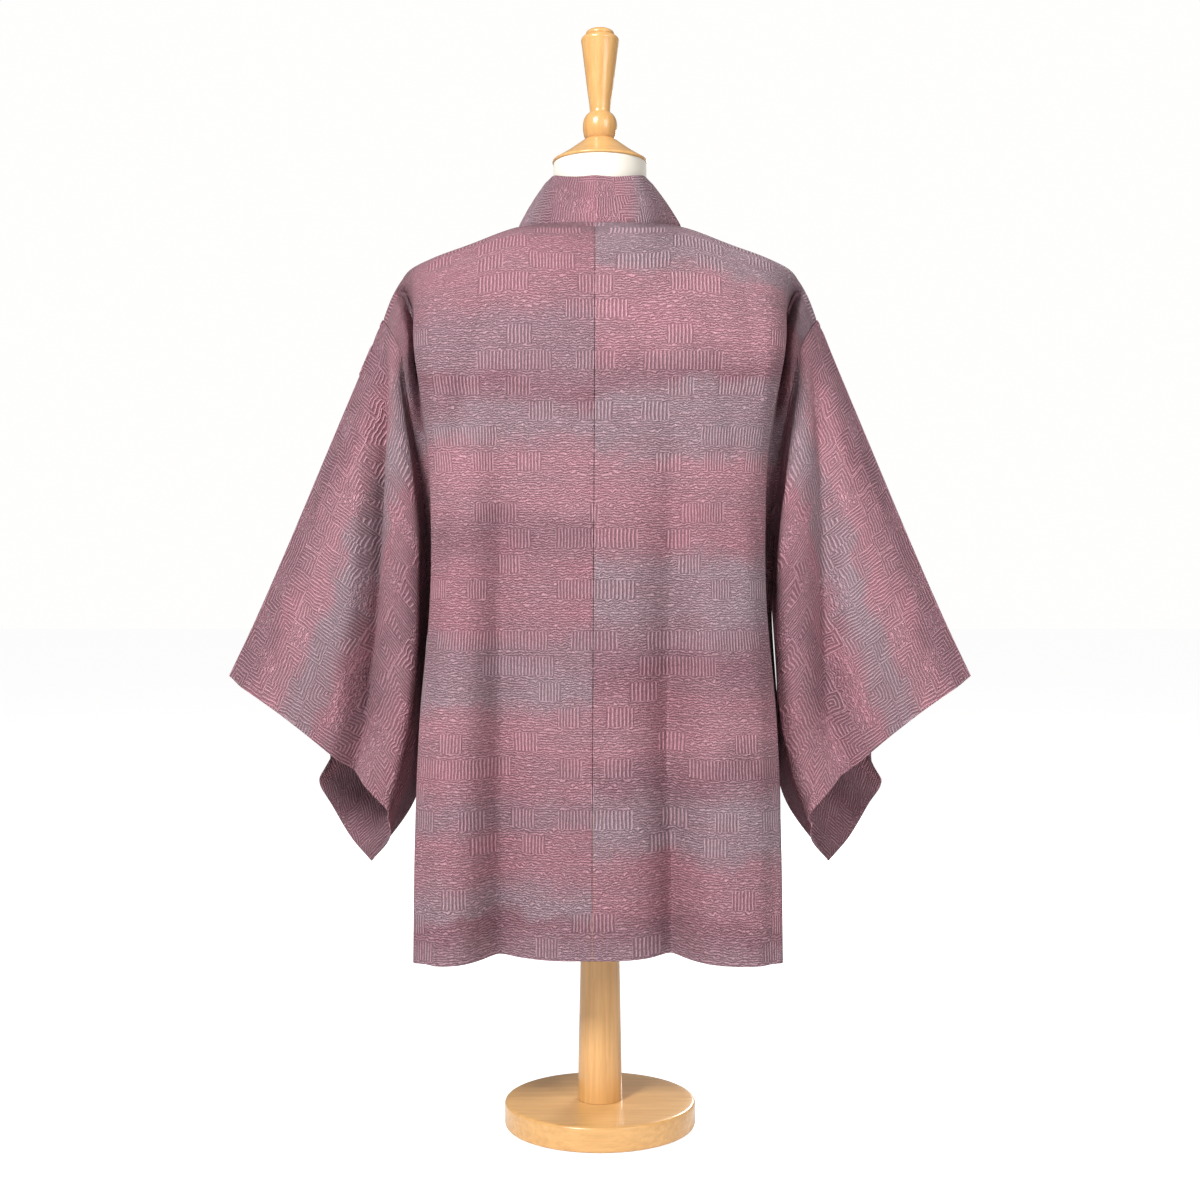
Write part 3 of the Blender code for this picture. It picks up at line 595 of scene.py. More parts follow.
def over_shoulder(column, share, front):
    """A control point between the shoulder line (share 0) and the blade level (share 1)."""
    top, end = np.array(RIDGE[column]), level_point("blade", column, front)
    if column == "edge" and 0 < share < 1:
        _, x, y, z = next(row for row in ARMHOLE_TOP if abs(row[0] - share) < 0.01)
        return np.array((x, -y if front else y, z))
    out, down = math.sin(share * math.pi / 2), 1 - math.cos(share * math.pi / 2)
    return np.array(
        (top[0] + (end[0] - top[0]) * out, top[1] + (end[1] - top[1]) * out, top[2] + (end[2] - top[2]) * down)
    )


def body_net(front):
    """Control points of half a panel: rows from the shoulder line to the hem, one for each column."""
    rows = [[over_shoulder(c, share, front) for c in COLUMNS] for share in (0, 1 / 3, 2 / 3, 1)]
    rows += [[level_point(name, c, front) for c in COLUMNS] for name in list(LEVELS)[1:]]
    return np.array(rows)


UNDERARM_ROW = 5  # of body_net
ROW_LENGTHS = (0.0, 0.062, 0.124, 0.186, 0.277, 0.346, 0.442, 0.557, 0.677, 0.796)  # down the cloth
PANEL_LENGTH = ROW_LENGTHS[-1]


def rows_at(lengths):
    """Rows of body_net, in parts of a row, at these distances down the cloth."""
    return np.interp(lengths, ROW_LENGTHS, np.arange(len(ROW_LENGTHS)))


def body_surface(side, front, rows, columns):
    """Points of half a body panel's outside, side +1 for the left: (rows, columns, 3)."""
    net = body_net(front)
    along = np.array([hermite(net[:, c], np.arange(len(net)), rows) for c in range(len(COLUMNS))])
    grid = np.array([hermite(along[:, r], COLUMN_AT, columns) for r in range(len(rows))])
    x, y, z = grid[..., 0].copy(), grid[..., 1].copy(), grid[..., 2]
    if side < 0:
        x *= 1 + (RIGHT_SIDE - 1) * smooth_step((0.85 - z) / 0.10)
    x *= side
    torso = smooth_step((level("blade")["side"] - 0.006 - np.abs(x)) / 0.022)
    under_yoke = smooth_step((0.90 - z) / 0.08)
    out = -1 if front else 1
    y += out * folds_at(x, z, FRONT_FOLDS if front else BACK_FOLDS) * torso * under_yoke
    y += out * creases_at(z, x, FRONT_CREASES if front else BACK_CREASES) * torso * under_yoke
    down = np.interp(rows, np.arange(len(ROW_LENGTHS)), ROW_LENGTHS)
    y += out * creases_at(down[:, None] + 0 * x, columns[None, :] + 0 * x, SIDE_CREASES)
    low = smooth_step((0.95 - z) / 0.75)
    seam = CENTRE_SEAM_TOP + (CENTRE_SEAM_HEM - CENTRE_SEAM_TOP) * low
    half = level("hem")["side"]
    if not front:
        x += seam * smooth_step(1 - np.abs(x) / 0.08)
    x += SIDE_SHIFT * smooth_step((0.80 - z) / 0.10) * smooth_step(np.abs(x) / half)
    return np.stack((x, y, z), axis=-1)


def outward_normals(grid, closed=False):
    """The grid's own normals, from the steps to each point's neighbours."""
    down = np.gradient(grid, axis=0)
    if closed:
        round_it = (np.roll(grid, -1, axis=1) - np.roll(grid, 1, axis=1)) / 2
    else:
        round_it = np.gradient(grid, axis=1)
    normals = np.cross(down, round_it)
    return normals / np.maximum(np.linalg.norm(normals, axis=-1, keepdims=True), 1e-9)


def cloth_piece(name, grid, across, along, outwards, wall=CLOTH, cut=None, ring=False, edge=0.0004):
    """A length of cloth: a flat grid drawn to its place, point by point, then given its wall inwards
    and soft edges. across and along are each point's place on the flat cloth, in metres. outwards is
    a direction out of the piece at each point; cut says which of its squares are cut away."""
    rows, columns = grid.shape[0] - 1, grid.shape[1] - 1
    bpy.ops.object.select_all(action="DESELECT")
    bpy.ops.mesh.primitive_grid_add(x_subdivisions=columns, y_subdivisions=rows, size=1, calc_uvs=True)
    piece = bpy.context.active_object
    piece.name = name
    mesh = piece.data
    spots = np.empty(len(mesh.vertices) * 3)
    mesh.vertices.foreach_get("co", spots)
    spots = spots.reshape(-1, 3)
    column = np.round((spots[:, 0] + 0.5) * columns).astype(int)
    row = np.round((spots[:, 1] + 0.5) * rows).astype(int)
    mesh.vertices.foreach_set("co", grid[row, column].ravel())
    corner = np.empty(len(mesh.loops), int)
    mesh.loops.foreach_get("vertex_index", corner)
    flat = np.stack((across[row, column], along[row, column]), axis=-1)
    mesh.uv_layers.active.data.foreach_set("uv", flat[corner].ravel())
    mesh.uv_layers.active.name = "cloth"
    mesh.update()
    probe = mesh.polygons[len(mesh.polygons) // 2 + columns // 3]
    first = probe.vertices[0]
    turned_in = probe.normal.dot(Vector(outwards[row[first], column[first]])) < 0
    bpy.ops.object.mode_set(mode="EDIT")
    bpy.ops.mesh.select_mode(type="FACE")
    if cut is not None:
        bpy.ops.mesh.select_all(action="DESELECT")
        bpy.ops.object.mode_set(mode="OBJECT")
        for polygon in mesh.polygons:
            corners = list(polygon.vertices)
            polygon.select = bool(cut[row[corners].min(), column[corners].min()])
        bpy.ops.object.mode_set(mode="EDIT")
        bpy.ops.mesh.delete(type="FACE")
    bpy.ops.mesh.select_all(action="SELECT")
    if turned_in:
        bpy.ops.mesh.flip_normals()
    if ring:
        bpy.ops.mesh.remove_doubles(threshold=0.00001)
    bpy.ops.object.mode_set(mode="OBJECT")
    solidify = piece.modifiers.new("wall", "SOLIDIFY")
    solidify.thickness = wall
    solidify.offset = -1
    bevel = piece.modifiers.new("soft_edge", "BEVEL")
    bevel.width = edge
    bevel.segments = 2
    bevel.limit_method = "ANGLE"
    bevel.angle_limit = math.radians(60)
    bpy.ops.object.modifier_apply(modifier="wall")
    bpy.ops.object.modifier_apply(modifier="soft_edge")
    bpy.ops.object.shade_smooth()
    return piece


ROSE = (0.365, 0.158, 0.196)
PINK = (0.415, 0.190, 0.230)
MAUVE = (0.258, 0.116, 0.148)
SLATE = (0.305, 0.208, 0.242)
LILAC = (0.288, 0.168, 0.204)
PLUM = (0.170, 0.072, 0.092)
# Painted light: the slate dye lightened by a fifth, used near the top of the right half's back, which gets less
# light.
SLATE_PAINTED_LIGHTER = (0.375, 0.250, 0.295)
FADED = (0.290, 0.158, 0.190)
BARE_THREAD = (0.62, 0.44, 0.47, 1)  # on the crests of the weave

soft_bands, bands_in, bands_out = new_group(
    "soft_bands", {"Cloth": None, "Start": 0.0, "Length": 1.0, "Feather": 0.016}, ("Along", "Cloud")
)
flat_cloth = bands_in.outputs["Cloth"]


def dye_noise(place, scale, detail, roughness=0.5):
    """One noise of the dye, from 0 to 1."""
    links = {"Vector": place, "Scale": scale, "Detail": detail, "Roughness": roughness}
    return add_node(soft_bands, "ShaderNodeTexNoise", links).outputs["Fac"]


def dye_shift(noise, by):
    """How far the noise shifts the dye along the cloth, either way."""
    return maths(soft_bands, "MULTIPLY", maths(soft_bands, "SUBTRACT", noise, 0.5), by)


stepped = dye_shift(dye_noise(flat_cloth, 17.0, 3.0, 0.6), bands_in.outputs["Feather"])
stepped = maths(soft_bands, "MULTIPLY", stepped, 4.0)
sagging = dye_shift(dye_noise(flat_cloth, 6.5, 1.0), 0.030)
strand = dye_shift(dye_noise(flat_cloth, 150.0, 2.0), 0.010)
flat_place = add_node(soft_bands, "ShaderNodeSeparateXYZ", {0: flat_cloth})
broad_shift = maths(soft_bands, "ADD", stepped, sagging)
along_cloth = maths(soft_bands, "ADD", broad_shift, maths(soft_bands, "ADD", flat_place.outputs["Y"], strand))
from_start = maths(soft_bands, "SUBTRACT", along_cloth, bands_in.outputs["Start"])
stretched = add_node(soft_bands, "ShaderNodeVectorMath", {0: flat_cloth, 1: (9.0, 42.0, 1.0)}, operation="MULTIPLY")
connect(soft_bands, bands_out, {
    "Along": maths(soft_bands, "DIVIDE", from_start, bands_in.outputs["Length"]),
    "Cloud": dye_noise(stretched.outputs[0], 1.0, 2.0),
})

# The figure woven into the silk: a ground of fine ribs that waver and break off, and in its rows
# blocks of upright stripes, blocks of nested squares and corners, all raised a hair above the ground.
figured, figured_in, figured_out = new_group(
    "figured_weave",
    {"Cloth": None, "Block Width": 0.030, "Block Height": 0.025, "Rib": 0.0031, "Figure Rib": 0.0036,
     "Margin": 0.0035, "Stripes": 0.3, "Nested": 0.1, "Corners": 0.1, "Ground": 0.85, "Curl": 0.0080,
     "Fineness": 1.9, "Waver": 0.0045},
    ("Raised", "Thread"),
)
given = figured_in.outputs
weave_uv = given["Cloth"]


def calc(operation, a, b=0.0):
    """The result of one Math node of the weave."""
    return maths(figured, operation, a, b)


def drifted(scale, by):
    """The cloth's place, drifted by a noise, as its u and v."""
    drift = add_node(figured, "ShaderNodeTexNoise", {"Vector": weave_uv, "Scale": scale, "Detail": 1.0})
    centred = add_node(
        figured, "ShaderNodeVectorMath", {0: drift.outputs["Color"], 1: (0.5, 0.5, 0.5)}, operation="SUBTRACT"
    )
    scaled = add_node(figured, "ShaderNodeVectorMath", {0: centred.outputs[0], "Scale": by}, operation="SCALE")
    moved = add_node(figured, "ShaderNodeVectorMath", {0: weave_uv, 1: scaled.outputs[0]}, operation="ADD")
    parts = add_node(figured, "ShaderNodeSeparateXYZ", {0: moved.outputs[0]})
    return parts.outputs["X"], parts.outputs["Y"]


def wave(place, period):
    """A soft wave from 0 to 1 over the period."""
    turn = calc("MULTIPLY", calc("DIVIDE", place, period), 2 * math.pi)
    half = calc("MULTIPLY", calc("SINE", turn), 0.5)
    return calc("ADD", half, 0.5)


def fine_wave(place, period):
    """The same, with its crests drawn thin."""
    return calc("POWER", wave(place, period), given["Fineness"])


def picked(low, high):
    """1 where the block's pick lies between low and high."""
    above = calc("GREATER_THAN", block_pick, low)
    return calc("MULTIPLY", above, calc("LESS_THAN", block_pick, high))


ground_u, ground_v = drifted(210.0, given["Curl"])
ground_ribs = wave(ground_v, given["Rib"])
breaks = add_node(figured, "ShaderNodeTexNoise", {"Vector": weave_uv, "Scale": 240.0, "Detail": 2.0})
broken = add_node(figured, "ShaderNodeMapRange", {0: breaks.outputs["Fac"], 1: 0.36, 2: 0.62, 3: 0.55, 4: 1.15})
ground = calc("MULTIPLY", calc("MULTIPLY", ground_ribs, broken.outputs[0]), given["Ground"])

figure_u, figure_v = drifted(60.0, given["Waver"])
rows_up = calc("DIVIDE", figure_v, given["Block Height"])
row_number = calc("FLOOR", rows_up)
row_slide = add_node(figured, "ShaderNodeTexWhiteNoise", {"W": row_number}, noise_dimensions="1D")
blocks_across = calc("ADD", calc("DIVIDE", figure_u, given["Block Width"]), row_slide.outputs["Value"])
block_place = add_node(figured, "ShaderNodeCombineXYZ", {0: calc("FLOOR", blocks_across), 1: row_number})
block_noise = add_node(
    figured, "ShaderNodeTexWhiteNoise", {"Vector": block_place.outputs[0]}, noise_dimensions="2D"
)
block_pick = block_noise.outputs["Value"]
block_parts = add_node(figured, "ShaderNodeSeparateXYZ", {0: block_noise.outputs["Color"]})
from_left = calc("MULTIPLY", calc("FRACT", blocks_across), given["Block Width"])
from_foot = calc("MULTIPLY", calc("FRACT", rows_up), given["Block Height"])
from_right = calc("SUBTRACT", given["Block Width"], from_left)
from_head = calc("SUBTRACT", given["Block Height"], from_foot)
to_side = calc("MINIMUM", from_left, from_right)
to_end = calc("MINIMUM", from_foot, from_head)
to_edge = calc("MINIMUM", to_side, to_end)
# A corner nests round one corner of its block, which one being the block's own pick.
turn_u = calc("GREATER_THAN", block_parts.outputs["X"], 0.5)
turn_v = calc("GREATER_THAN", block_parts.outputs["Y"], 0.5)
corner_u = add_node(figured, "ShaderNodeMix", {0: turn_u, 2: from_left, 3: from_right})
corner_v = add_node(figured, "ShaderNodeMix", {0: turn_v, 2: from_foot, 3: from_head})
to_corner = calc("MINIMUM", corner_u.outputs[0], corner_v.outputs[0])

figure_rib = given["Figure Rib"]
inside = add_node(
    figured, "ShaderNodeMapRange",
    {0: calc("SUBTRACT", to_end, given["Margin"]), 1: -0.0006, 2: 0.0006, 3: 0.0, 4: 1.0},
)
stripes = calc("MULTIPLY", fine_wave(figure_u, figure_rib), inside.outputs[0])
nested = fine_wave(to_edge, figure_rib)
corners = fine_wave(to_corner, figure_rib)
level_bars = fine_wave(figure_v, figure_rib)
stripe_share = given["Stripes"]
nested_share = calc("ADD", stripe_share, given["Nested"])
corner_share = calc("ADD", nested_share, given["Corners"])
is_striped = calc("MULTIPLY", picked(-1.0, stripe_share), inside.outputs[0])
is_nested = picked(stripe_share, nested_share)
is_corner = picked(nested_share, corner_share)
BARRED_SHARE = 0.6  # of the corners' share, for blocks of level bars
is_barred = picked(corner_share, calc("ADD", corner_share, calc("MULTIPLY", given["Corners"], BARRED_SHARE)))
figure_breaks = add_node(
    figured, "ShaderNodeMapRange", {0: breaks.outputs["Fac"], 1: 0.30, 2: 0.52, 3: 0.45, 4: 1.0}
)
raised = ground
for mask, lines in ((is_striped, stripes), (is_nested, nested), (is_corner, corners), (is_barred, level_bars)):
    lines = calc("MULTIPLY", lines, figure_breaks.outputs[0])
    raised = add_node(figured, "ShaderNodeMix", {0: mask, 2: raised, 3: lines}).outputs[0]
figured.links.new(raised, figured_out.inputs["Raised"])
yarn = add_node(figured, "ShaderNodeTexNoise", {"Vector": weave_uv, "Scale": 820.0, "Detail": 2.0})
figured.links.new(yarn.outputs["Fac"], figured_out.inputs["Thread"])


def silk(name, start, length, stops, painted_light=1.0, **figure):
    """Figured silk. stops are (distance along the cloth in metres, dye), from start over length. The factor given
    after the stops scales all its colours as painted light: above 1, the piece is painted lighter in place of light
    that it doesn't get.
    """
    material, tree, shader = new_material(name)
    cloth = add_node(tree, "ShaderNodeUVMap", {}, uv_map="cloth").outputs[0]
    bands = add_node(
        tree, "ShaderNodeGroup", {"Cloth": cloth, "Start": start, "Length": length}, node_tree=soft_bands
    )
    weave = add_node(tree, "ShaderNodeGroup", {"Cloth": cloth, **figure}, node_tree=figured)
    raised, thread = weave.outputs["Raised"], weave.outputs["Thread"]
    stops = [((at - start) / length, *(painted_light * part for part in dye)) for at, dye in stops]
    dyed = colour_ramp(tree, bands.outputs["Along"], stops, "EASE")
    worn = add_node(tree, "ShaderNodeMapRange", {0: bands.outputs["Cloud"], 1: 0.35, 2: 0.70, 3: 0.0, 4: 0.62})
    faded = mixed(tree, worn.outputs[0], dyed, (*(painted_light * part for part in FADED), 1))
    lift = add_node(tree, "ShaderNodeMapRange", {0: raised, 3: 0.60, 4: 1.42})
    speck = add_node(tree, "ShaderNodeMapRange", {0: thread, 1: 0.3, 2: 0.7, 3: 0.58, 4: 1.46})
    light = maths(tree, "MULTIPLY", lift.outputs[0], speck.outputs[0])
    lit = add_node(tree, "ShaderNodeVectorMath", {0: faded, "Scale": light}, operation="SCALE")
    crest = maths(tree, "MULTIPLY", maths(tree, "POWER", raised, 2.0), 0.26)
    gloss = add_node(tree, "ShaderNodeMapRange", {0: raised, 3: 0.70, 4: 0.54})
    relief = maths(tree, "ADD", maths(tree, "MULTIPLY", thread, 0.9), raised)
    bump = add_node(tree, "ShaderNodeBump", {"Strength": 1.0, "Distance": 0.0011, "Height": relief})
    connect(tree, shader, {
        "Base Color": mixed(tree, crest, lit.outputs[0], BARE_THREAD), "Roughness": gloss.outputs[0],
        "Normal": bump.outputs[0], "Sheen Weight": 0.05, "Sheen Roughness": 0.45, "Specular IOR Level": 0.24,
    })
    return material


NEAR_SEAM = (0.001, 0.0024, 0.0045, 0.008)  # the columns stand closer beside a seam
body_rows = rows_at(np.concatenate((np.linspace(0, 0.790, 172), (0.793, 0.7948, PANEL_LENGTH))))
neck_columns = np.concatenate(((0.0, *NEAR_SEAM), np.linspace(0.012, NECK_AT - 0.002, 16), (NECK_AT,)))
body_columns = np.concatenate((
    neck_columns, NECK_AT + np.array(NEAR_SEAM), np.linspace(0.098, 0.266, 44), (0.270, 0.2726, 0.274, 0.275)
))


def tucked(grid, columns, seams, deep=0.0007, wide=0.0018):
    """The cloth drawn in a hair where it is sewn: seams are the places of the seams on the columns."""
    pull = sum(np.exp(-(((columns - seam) / wide) ** 2)) for seam in seams)
    return deep * pull[None, :, None]


def body_panel(side):
    """The panel's grid from the back hem over the shoulder to the front hem, its flat places and cut."""
    back = body_surface(side, False, body_rows, body_columns)
    front = body_surface(side, True, body_rows, body_columns)
    front[0] = back[0]
    back = back - tucked(back, body_columns, (0.0, 0.275)) * side * -outward_normals(back)
    front = front - tucked(front, body_columns, (NECK_AT, 0.275)) * side * outward_normals(front)
    front[0] = back[0]
    back[:, 0, 0] = np.maximum(back[:, 0, 0], 0) + side * SEAM_GAP / 2
    grid = np.concatenate((back[::-1], front[1:]))
    step = np.linalg.norm(np.diff(grid[:, 28:40], axis=0), axis=-1).mean(axis=1)
    along = np.concatenate(((0.0,), np.cumsum(step)))[:, None] + np.zeros(len(body_columns))
    across = np.zeros(len(grid))[:, None] + body_columns
    neck = len(neck_columns) - 1
    shoulder = len(body_rows) - 1
    square_row, square_column = np.indices((grid.shape[0] - 1, grid.shape[1] - 1))
    cut = (square_column < neck) & (square_row >= shoulder)
    return grid, across, along, cut


LEFT_DYES = (
    (0.00, LILAC), (0.03, MAUVE), (0.05, SLATE), (0.09, ROSE), (0.12, ROSE), (0.14, LILAC), (0.175, ROSE),
    (0.235, PINK), (0.265, SLATE), (0.305, LILAC), (0.335, ROSE), (0.385, ROSE), (0.43, MAUVE), (0.46, PINK),
    (0.505, PINK), (0.535, SLATE), (0.57, MAUVE), (0.60, LILAC), (0.63, LILAC), (0.67, ROSE), (0.72, ROSE),
    (0.80, MAUVE), (0.90, SLATE), (0.98, ROSE), (1.10, LILAC), (1.18, PINK), (1.27, MAUVE), (1.36, SLATE),
    (1.44, ROSE), (1.52, MAUVE), (1.58, LILAC),
)
# The stop at 0.76, near the top of the right back, is slate painted lighter: painted light.
RIGHT_DYES = (
    (0.00, LILAC), (0.025, MAUVE), (0.05, ROSE), (0.09, ROSE), (0.115, SLATE), (0.145, SLATE), (0.18, MAUVE),
    (0.215, PINK), (0.25, ROSE), (0.29, MAUVE), (0.325, LILAC), (0.345, SLATE), (0.385, SLATE), (0.42, ROSE),
    (0.49, PINK), (0.515, SLATE), (0.56, SLATE), (0.585, MAUVE), (0.62, PINK), (0.68, PINK), (0.705, SLATE),
    (0.76, SLATE_PAINTED_LIGHTER), (0.80, LILAC), (0.86, ROSE), (0.96, SLATE), (1.05, PINK), (1.15, MAUVE), (1.24, SLATE),
    (1.33, ROSE), (1.42, LILAC), (1.50, ROSE), (1.58, MAUVE),
)
BODY_FIGURE = {
    "Block Width": 0.026, "Block Height": 0.0255, "Rib": 0.0026, "Figure Rib": 0.0036, "Stripes": 0.30,
    "Nested": 0.0, "Corners": 0.0, "Ground": 0.90, "Curl": 0.0058, "Fineness": 1.3, "Waver": 0.0020,
}
for side, name, node, dyes in (
    (1, "body_cloth_left", "body_left", LEFT_DYES),
    (-1, "body_cloth_right", "body_right", RIGHT_DYES),
):
    grid, across, along, cut = body_panel(side)
    panel = cloth_piece(name, grid, across, along, grid * (1, 1, 0), cut=cut)
    put_on(panel, silk("silk_" + node, 0.0, 1.58, dyes, **BODY_FIGURE), node)

# The gussets: a narrow strip sewn into each side seam, from under the arm to the hem, that gives the
# skirt its width.
GUSSET_BULGE = {1: 0.0040, -1: 0.0080}  # outwards, half way across
LAP_IN = 0.0021  # a turning lies this far inside the panel
LAP_WIDE = 0.0045  # and this far past the seam


def gusset_surface(side, rows, across):
    """The strip between the back's and the front's side edges, from the underarm to the hem."""
    edge = np.array((COLUMN_AT[-1],))
    back = body_surface(side, False, rows, edge)[:, 0]
    front = body_surface(side, True, rows, edge)[:, 0]
    share = across[None, :, None]
    grid = back[:, None] * (1 - share) + front[:, None] * share
    grid[..., 1] += (2 * across - 1) * 2 * SEAM_GAP
    within = np.clip(across, 0, 1)
    grid[..., 0] += side * GUSSET_BULGE[side] * 4 * within * (1 - within)
    lapped = (across < 0) | (across > 1)  # the seam's turnings lie under the panels' edges
    grid[:, lapped, 0] -= side * LAP_IN
    grid[:, lapped, 1] = np.where(across[lapped] < 0, back[:, None, 1] + LAP_WIDE, front[:, None, 1] - LAP_WIDE)
    return grid


gusset_rows = rows_at(np.linspace(0.372, PANEL_LENGTH, 90))
gusset_across = np.array((-0.08, 0, 0.03, 0.08, 0.16, 0.27, 0.39, 0.5, 0.61, 0.73, 0.84, 0.92, 0.97, 1.0, 1.08))
for side, name, node in ((1, "gusset_cloth_left", "gusset_left"), (-1, "gusset_cloth_right", "gusset_right")):
    grid = gusset_surface(side, gusset_rows, gusset_across)
    along = (grid[:, :1, 2] - grid[-1, 0, 2]) + np.zeros(len(gusset_across))
    across = np.linalg.norm(grid - grid[:, :1], axis=-1)
    strip = cloth_piece(name, grid, across, along, grid * (1, 0, 0))
    put_on(strip, silk("silk_" + node, 0.0, 0.45, LEFT_DYES[:14], **BODY_FIGURE), node)

# The sleeves: each is one straight width of the same silk folded along its top and sewn under, set
# into the armhole and open at the cuff. The lower corner hangs free and swings a little forward.
# The sleeve's sections in its own frame: s down the top fold from the armhole, p from the top fold
# towards the body, q towards the back. Columns run from the top fold down the back to the bottom
# seam, and from the top fold down the front to the same seam.
SLEEVE_AT = (0.0, 0.27, 0.46, 0.60, 0.72, 0.84, 1.0)  # along one layer, top fold to bottom seam
SLEEVE_BACK = {
    "upper": (
        (0.135, 0.001, 0.000), (0.137, 0.036, 0.030), (0.140, 0.064, 0.047), (0.144, 0.086, 0.050),
        (0.151, 0.103, 0.042), (0.166, 0.116, 0.023), (0.196, 0.1310, -0.006),
    ),
    "middle": (
        (0.270, 0.0025, 0.000), (0.275, 0.060, 0.028), (0.281, 0.106, 0.042), (0.288, 0.140, 0.044),
        (0.296, 0.163, 0.036), (0.308, 0.1760, 0.016), (0.334, 0.1890, -0.016),
    ),
    "lower": (
        (0.350, 0.002, 0.000), (0.358, 0.072, 0.025), (0.367, 0.126, 0.036), (0.377, 0.168, 0.038),
        (0.388, 0.199, 0.032), (0.405, 0.212, 0.012), (0.442, 0.2300, -0.018),
    ),
    "cuff": (
        (0.4087, 0.000, 0.000), (0.4220, 0.080, 0.020), (0.4365, 0.136, 0.030), (0.4530, 0.178, 0.033),
        (0.4675, 0.210, 0.028), (0.4920, 0.2238, 0.010), (0.5317, 0.2143, -0.020),
    ),
}
SLEEVE_FRONT = {
    "upper": (
        (0.135, 0.001, 0.000), (0.138, 0.035, -0.030), (0.142, 0.062, -0.048), (0.147, 0.084, -0.052),
        (0.154, 0.102, -0.046), (0.168, 0.118, -0.030), (0.196, 0.1310, -0.006),
    ),
    "middle": (
        (0.270, 0.0025, 0.000), (0.277, 0.056, -0.036), (0.286, 0.096, -0.056), (0.296, 0.126, -0.062),
        (0.306, 0.152, -0.057), (0.318, 0.174, -0.042), (0.334, 0.1890, -0.016),
    ),
    "lower": (
        (0.350, 0.002, 0.000), (0.360, 0.068, -0.042), (0.374, 0.108, -0.070), (0.396, 0.134, -0.080),
        (0.410, 0.164, -0.074), (0.425, 0.198, -0.052), (0.442, 0.2300, -0.018),
    ),
    "cuff": (
        (0.4087, 0.000, 0.000), (0.4265, 0.078, -0.040), (0.4480, 0.115, -0.074), (0.4880, 0.1248, -0.080),
        (0.5050, 0.151, -0.068), (0.5215, 0.180, -0.050), (0.5317, 0.2143, -0.020),
    ),
}
SLEEVE_KNOTS = (0.0, 0.33, 0.62, 0.82, 1.0)

SLEEVE_LENGTH = 0.4087  # along its top fold, from the armhole seam to the cuff
SLEEVE_SLANT = math.radians(23.4)  # of the top fold, from the vertical
SLEEVE_STEP = 0.0014  # the sleeve's ring stands this far out from the armhole's line
# Paths run down the sleeve as (distance from the armhole, distance from the top fold, back positive,
# how far the cloth moves outwards).
LEFT_SLEEVE_CREASES = {
    "long_fold": (((0.004, 0.020, -0.002), (0.060, 0.052, -0.016), (0.123, 0.074, -0.024), (0.190, 0.096, -0.029),
        (0.248, 0.116, -0.031), (0.327, 0.139, -0.031), (0.394, 0.163, -0.028), (0.450, 0.180, -0.024)),
        0.017, 0.014),
    "rim": (((0.010, 0.090, 0.0), (0.060, 0.114, 0.008), (0.117, 0.136, 0.016), (0.216, 0.169, 0.019),
        (0.300, 0.194, 0.018), (0.400, 0.222, 0.010)), 0.034, 0.009),
    "body_side": (((0.010, 0.108, 0.0), (0.060, 0.132, -0.010), (0.117, 0.153, -0.018), (0.216, 0.186, -0.020),
        (0.300, 0.210, -0.016), (0.400, 0.236, -0.006)), 0.008, 0.014),
    "front_fold": (((0.010, -0.030, 0.0), (0.120, -0.070, -0.014), (0.260, -0.112, -0.022),
        (0.440, -0.170, -0.020)), 0.014, 0.020),
    "front_rim": (((0.060, -0.100, 0.0), (0.220, -0.140, 0.004), (0.420, -0.200, 0.004)), 0.014, 0.014),
}
RIGHT_SLEEVE_CREASES = {
    "long_fold": (((0.004, 0.032, -0.001), (0.060, 0.053, -0.007), (0.122, 0.075, -0.013), (0.190, 0.097, -0.021),
        (0.265, 0.126, -0.028), (0.321, 0.147, -0.028), (0.389, 0.170, -0.026), (0.450, 0.188, -0.022)),
        0.017, 0.024),
    "rim": (((0.010, 0.090, 0.0), (0.107, 0.134, 0.017), (0.199, 0.172, 0.020), (0.284, 0.197, 0.020),
        (0.380, 0.230, 0.012)), 0.032, 0.009),
    "body_side": (((0.010, 0.108, 0.0), (0.060, 0.130, -0.008), (0.107, 0.151, -0.018), (0.199, 0.189, -0.020),
        (0.284, 0.214, -0.016), (0.380, 0.244, -0.006)), 0.008, 0.014),
    "front_fold": (((0.010, -0.034, 0.0), (0.130, -0.074, -0.013), (0.270, -0.120, -0.021),
        (0.440, -0.176, -0.020)), 0.014, 0.020),
    "front_rim": (((0.060, -0.104, 0.0), (0.230, -0.148, 0.004), (0.420, -0.206, 0.004)), 0.014, 0.014),
}
# Between its top fold and the long fold the sleeve hangs as a broad flat, this far out of its lie.
BROAD_FLAT = {1: (0.017, 0.026), -1: (0.010, 0.030)}  # (how far out, how far from the long fold it ends)
SEAM_PUSH = {1: 0.0105, -1: 0.0080}  # the sleeve's bottom seam leans on the body's side by this much
SEAM_WIDE = 0.020  # how far from the seam the cloth is moved with it
# The lean comes on from LEAN_FROM over LEAN_RISE and is gone by LEAN_TO, over LEAN_FADE: shares of the sleeve.
LEAN_FROM, LEAN_RISE, LEAN_TO, LEAN_FADE = 0.03, 0.16, 0.64, 0.28


def sleeve_place(side, section):
    """Points of a sleeve section, given as s, p, q, in the part's frame."""
    s, p, q = np.moveaxis(np.asarray(section, float), -1, 0)
    top = RIDGE["edge"]
    down, out = math.cos(SLEEVE_SLANT), math.sin(SLEEVE_SLANT)
    x = top[0] + s * out - p * down
    z = top[2] - s * down - p * out
    return np.stack((side * x, q, z), axis=-1)


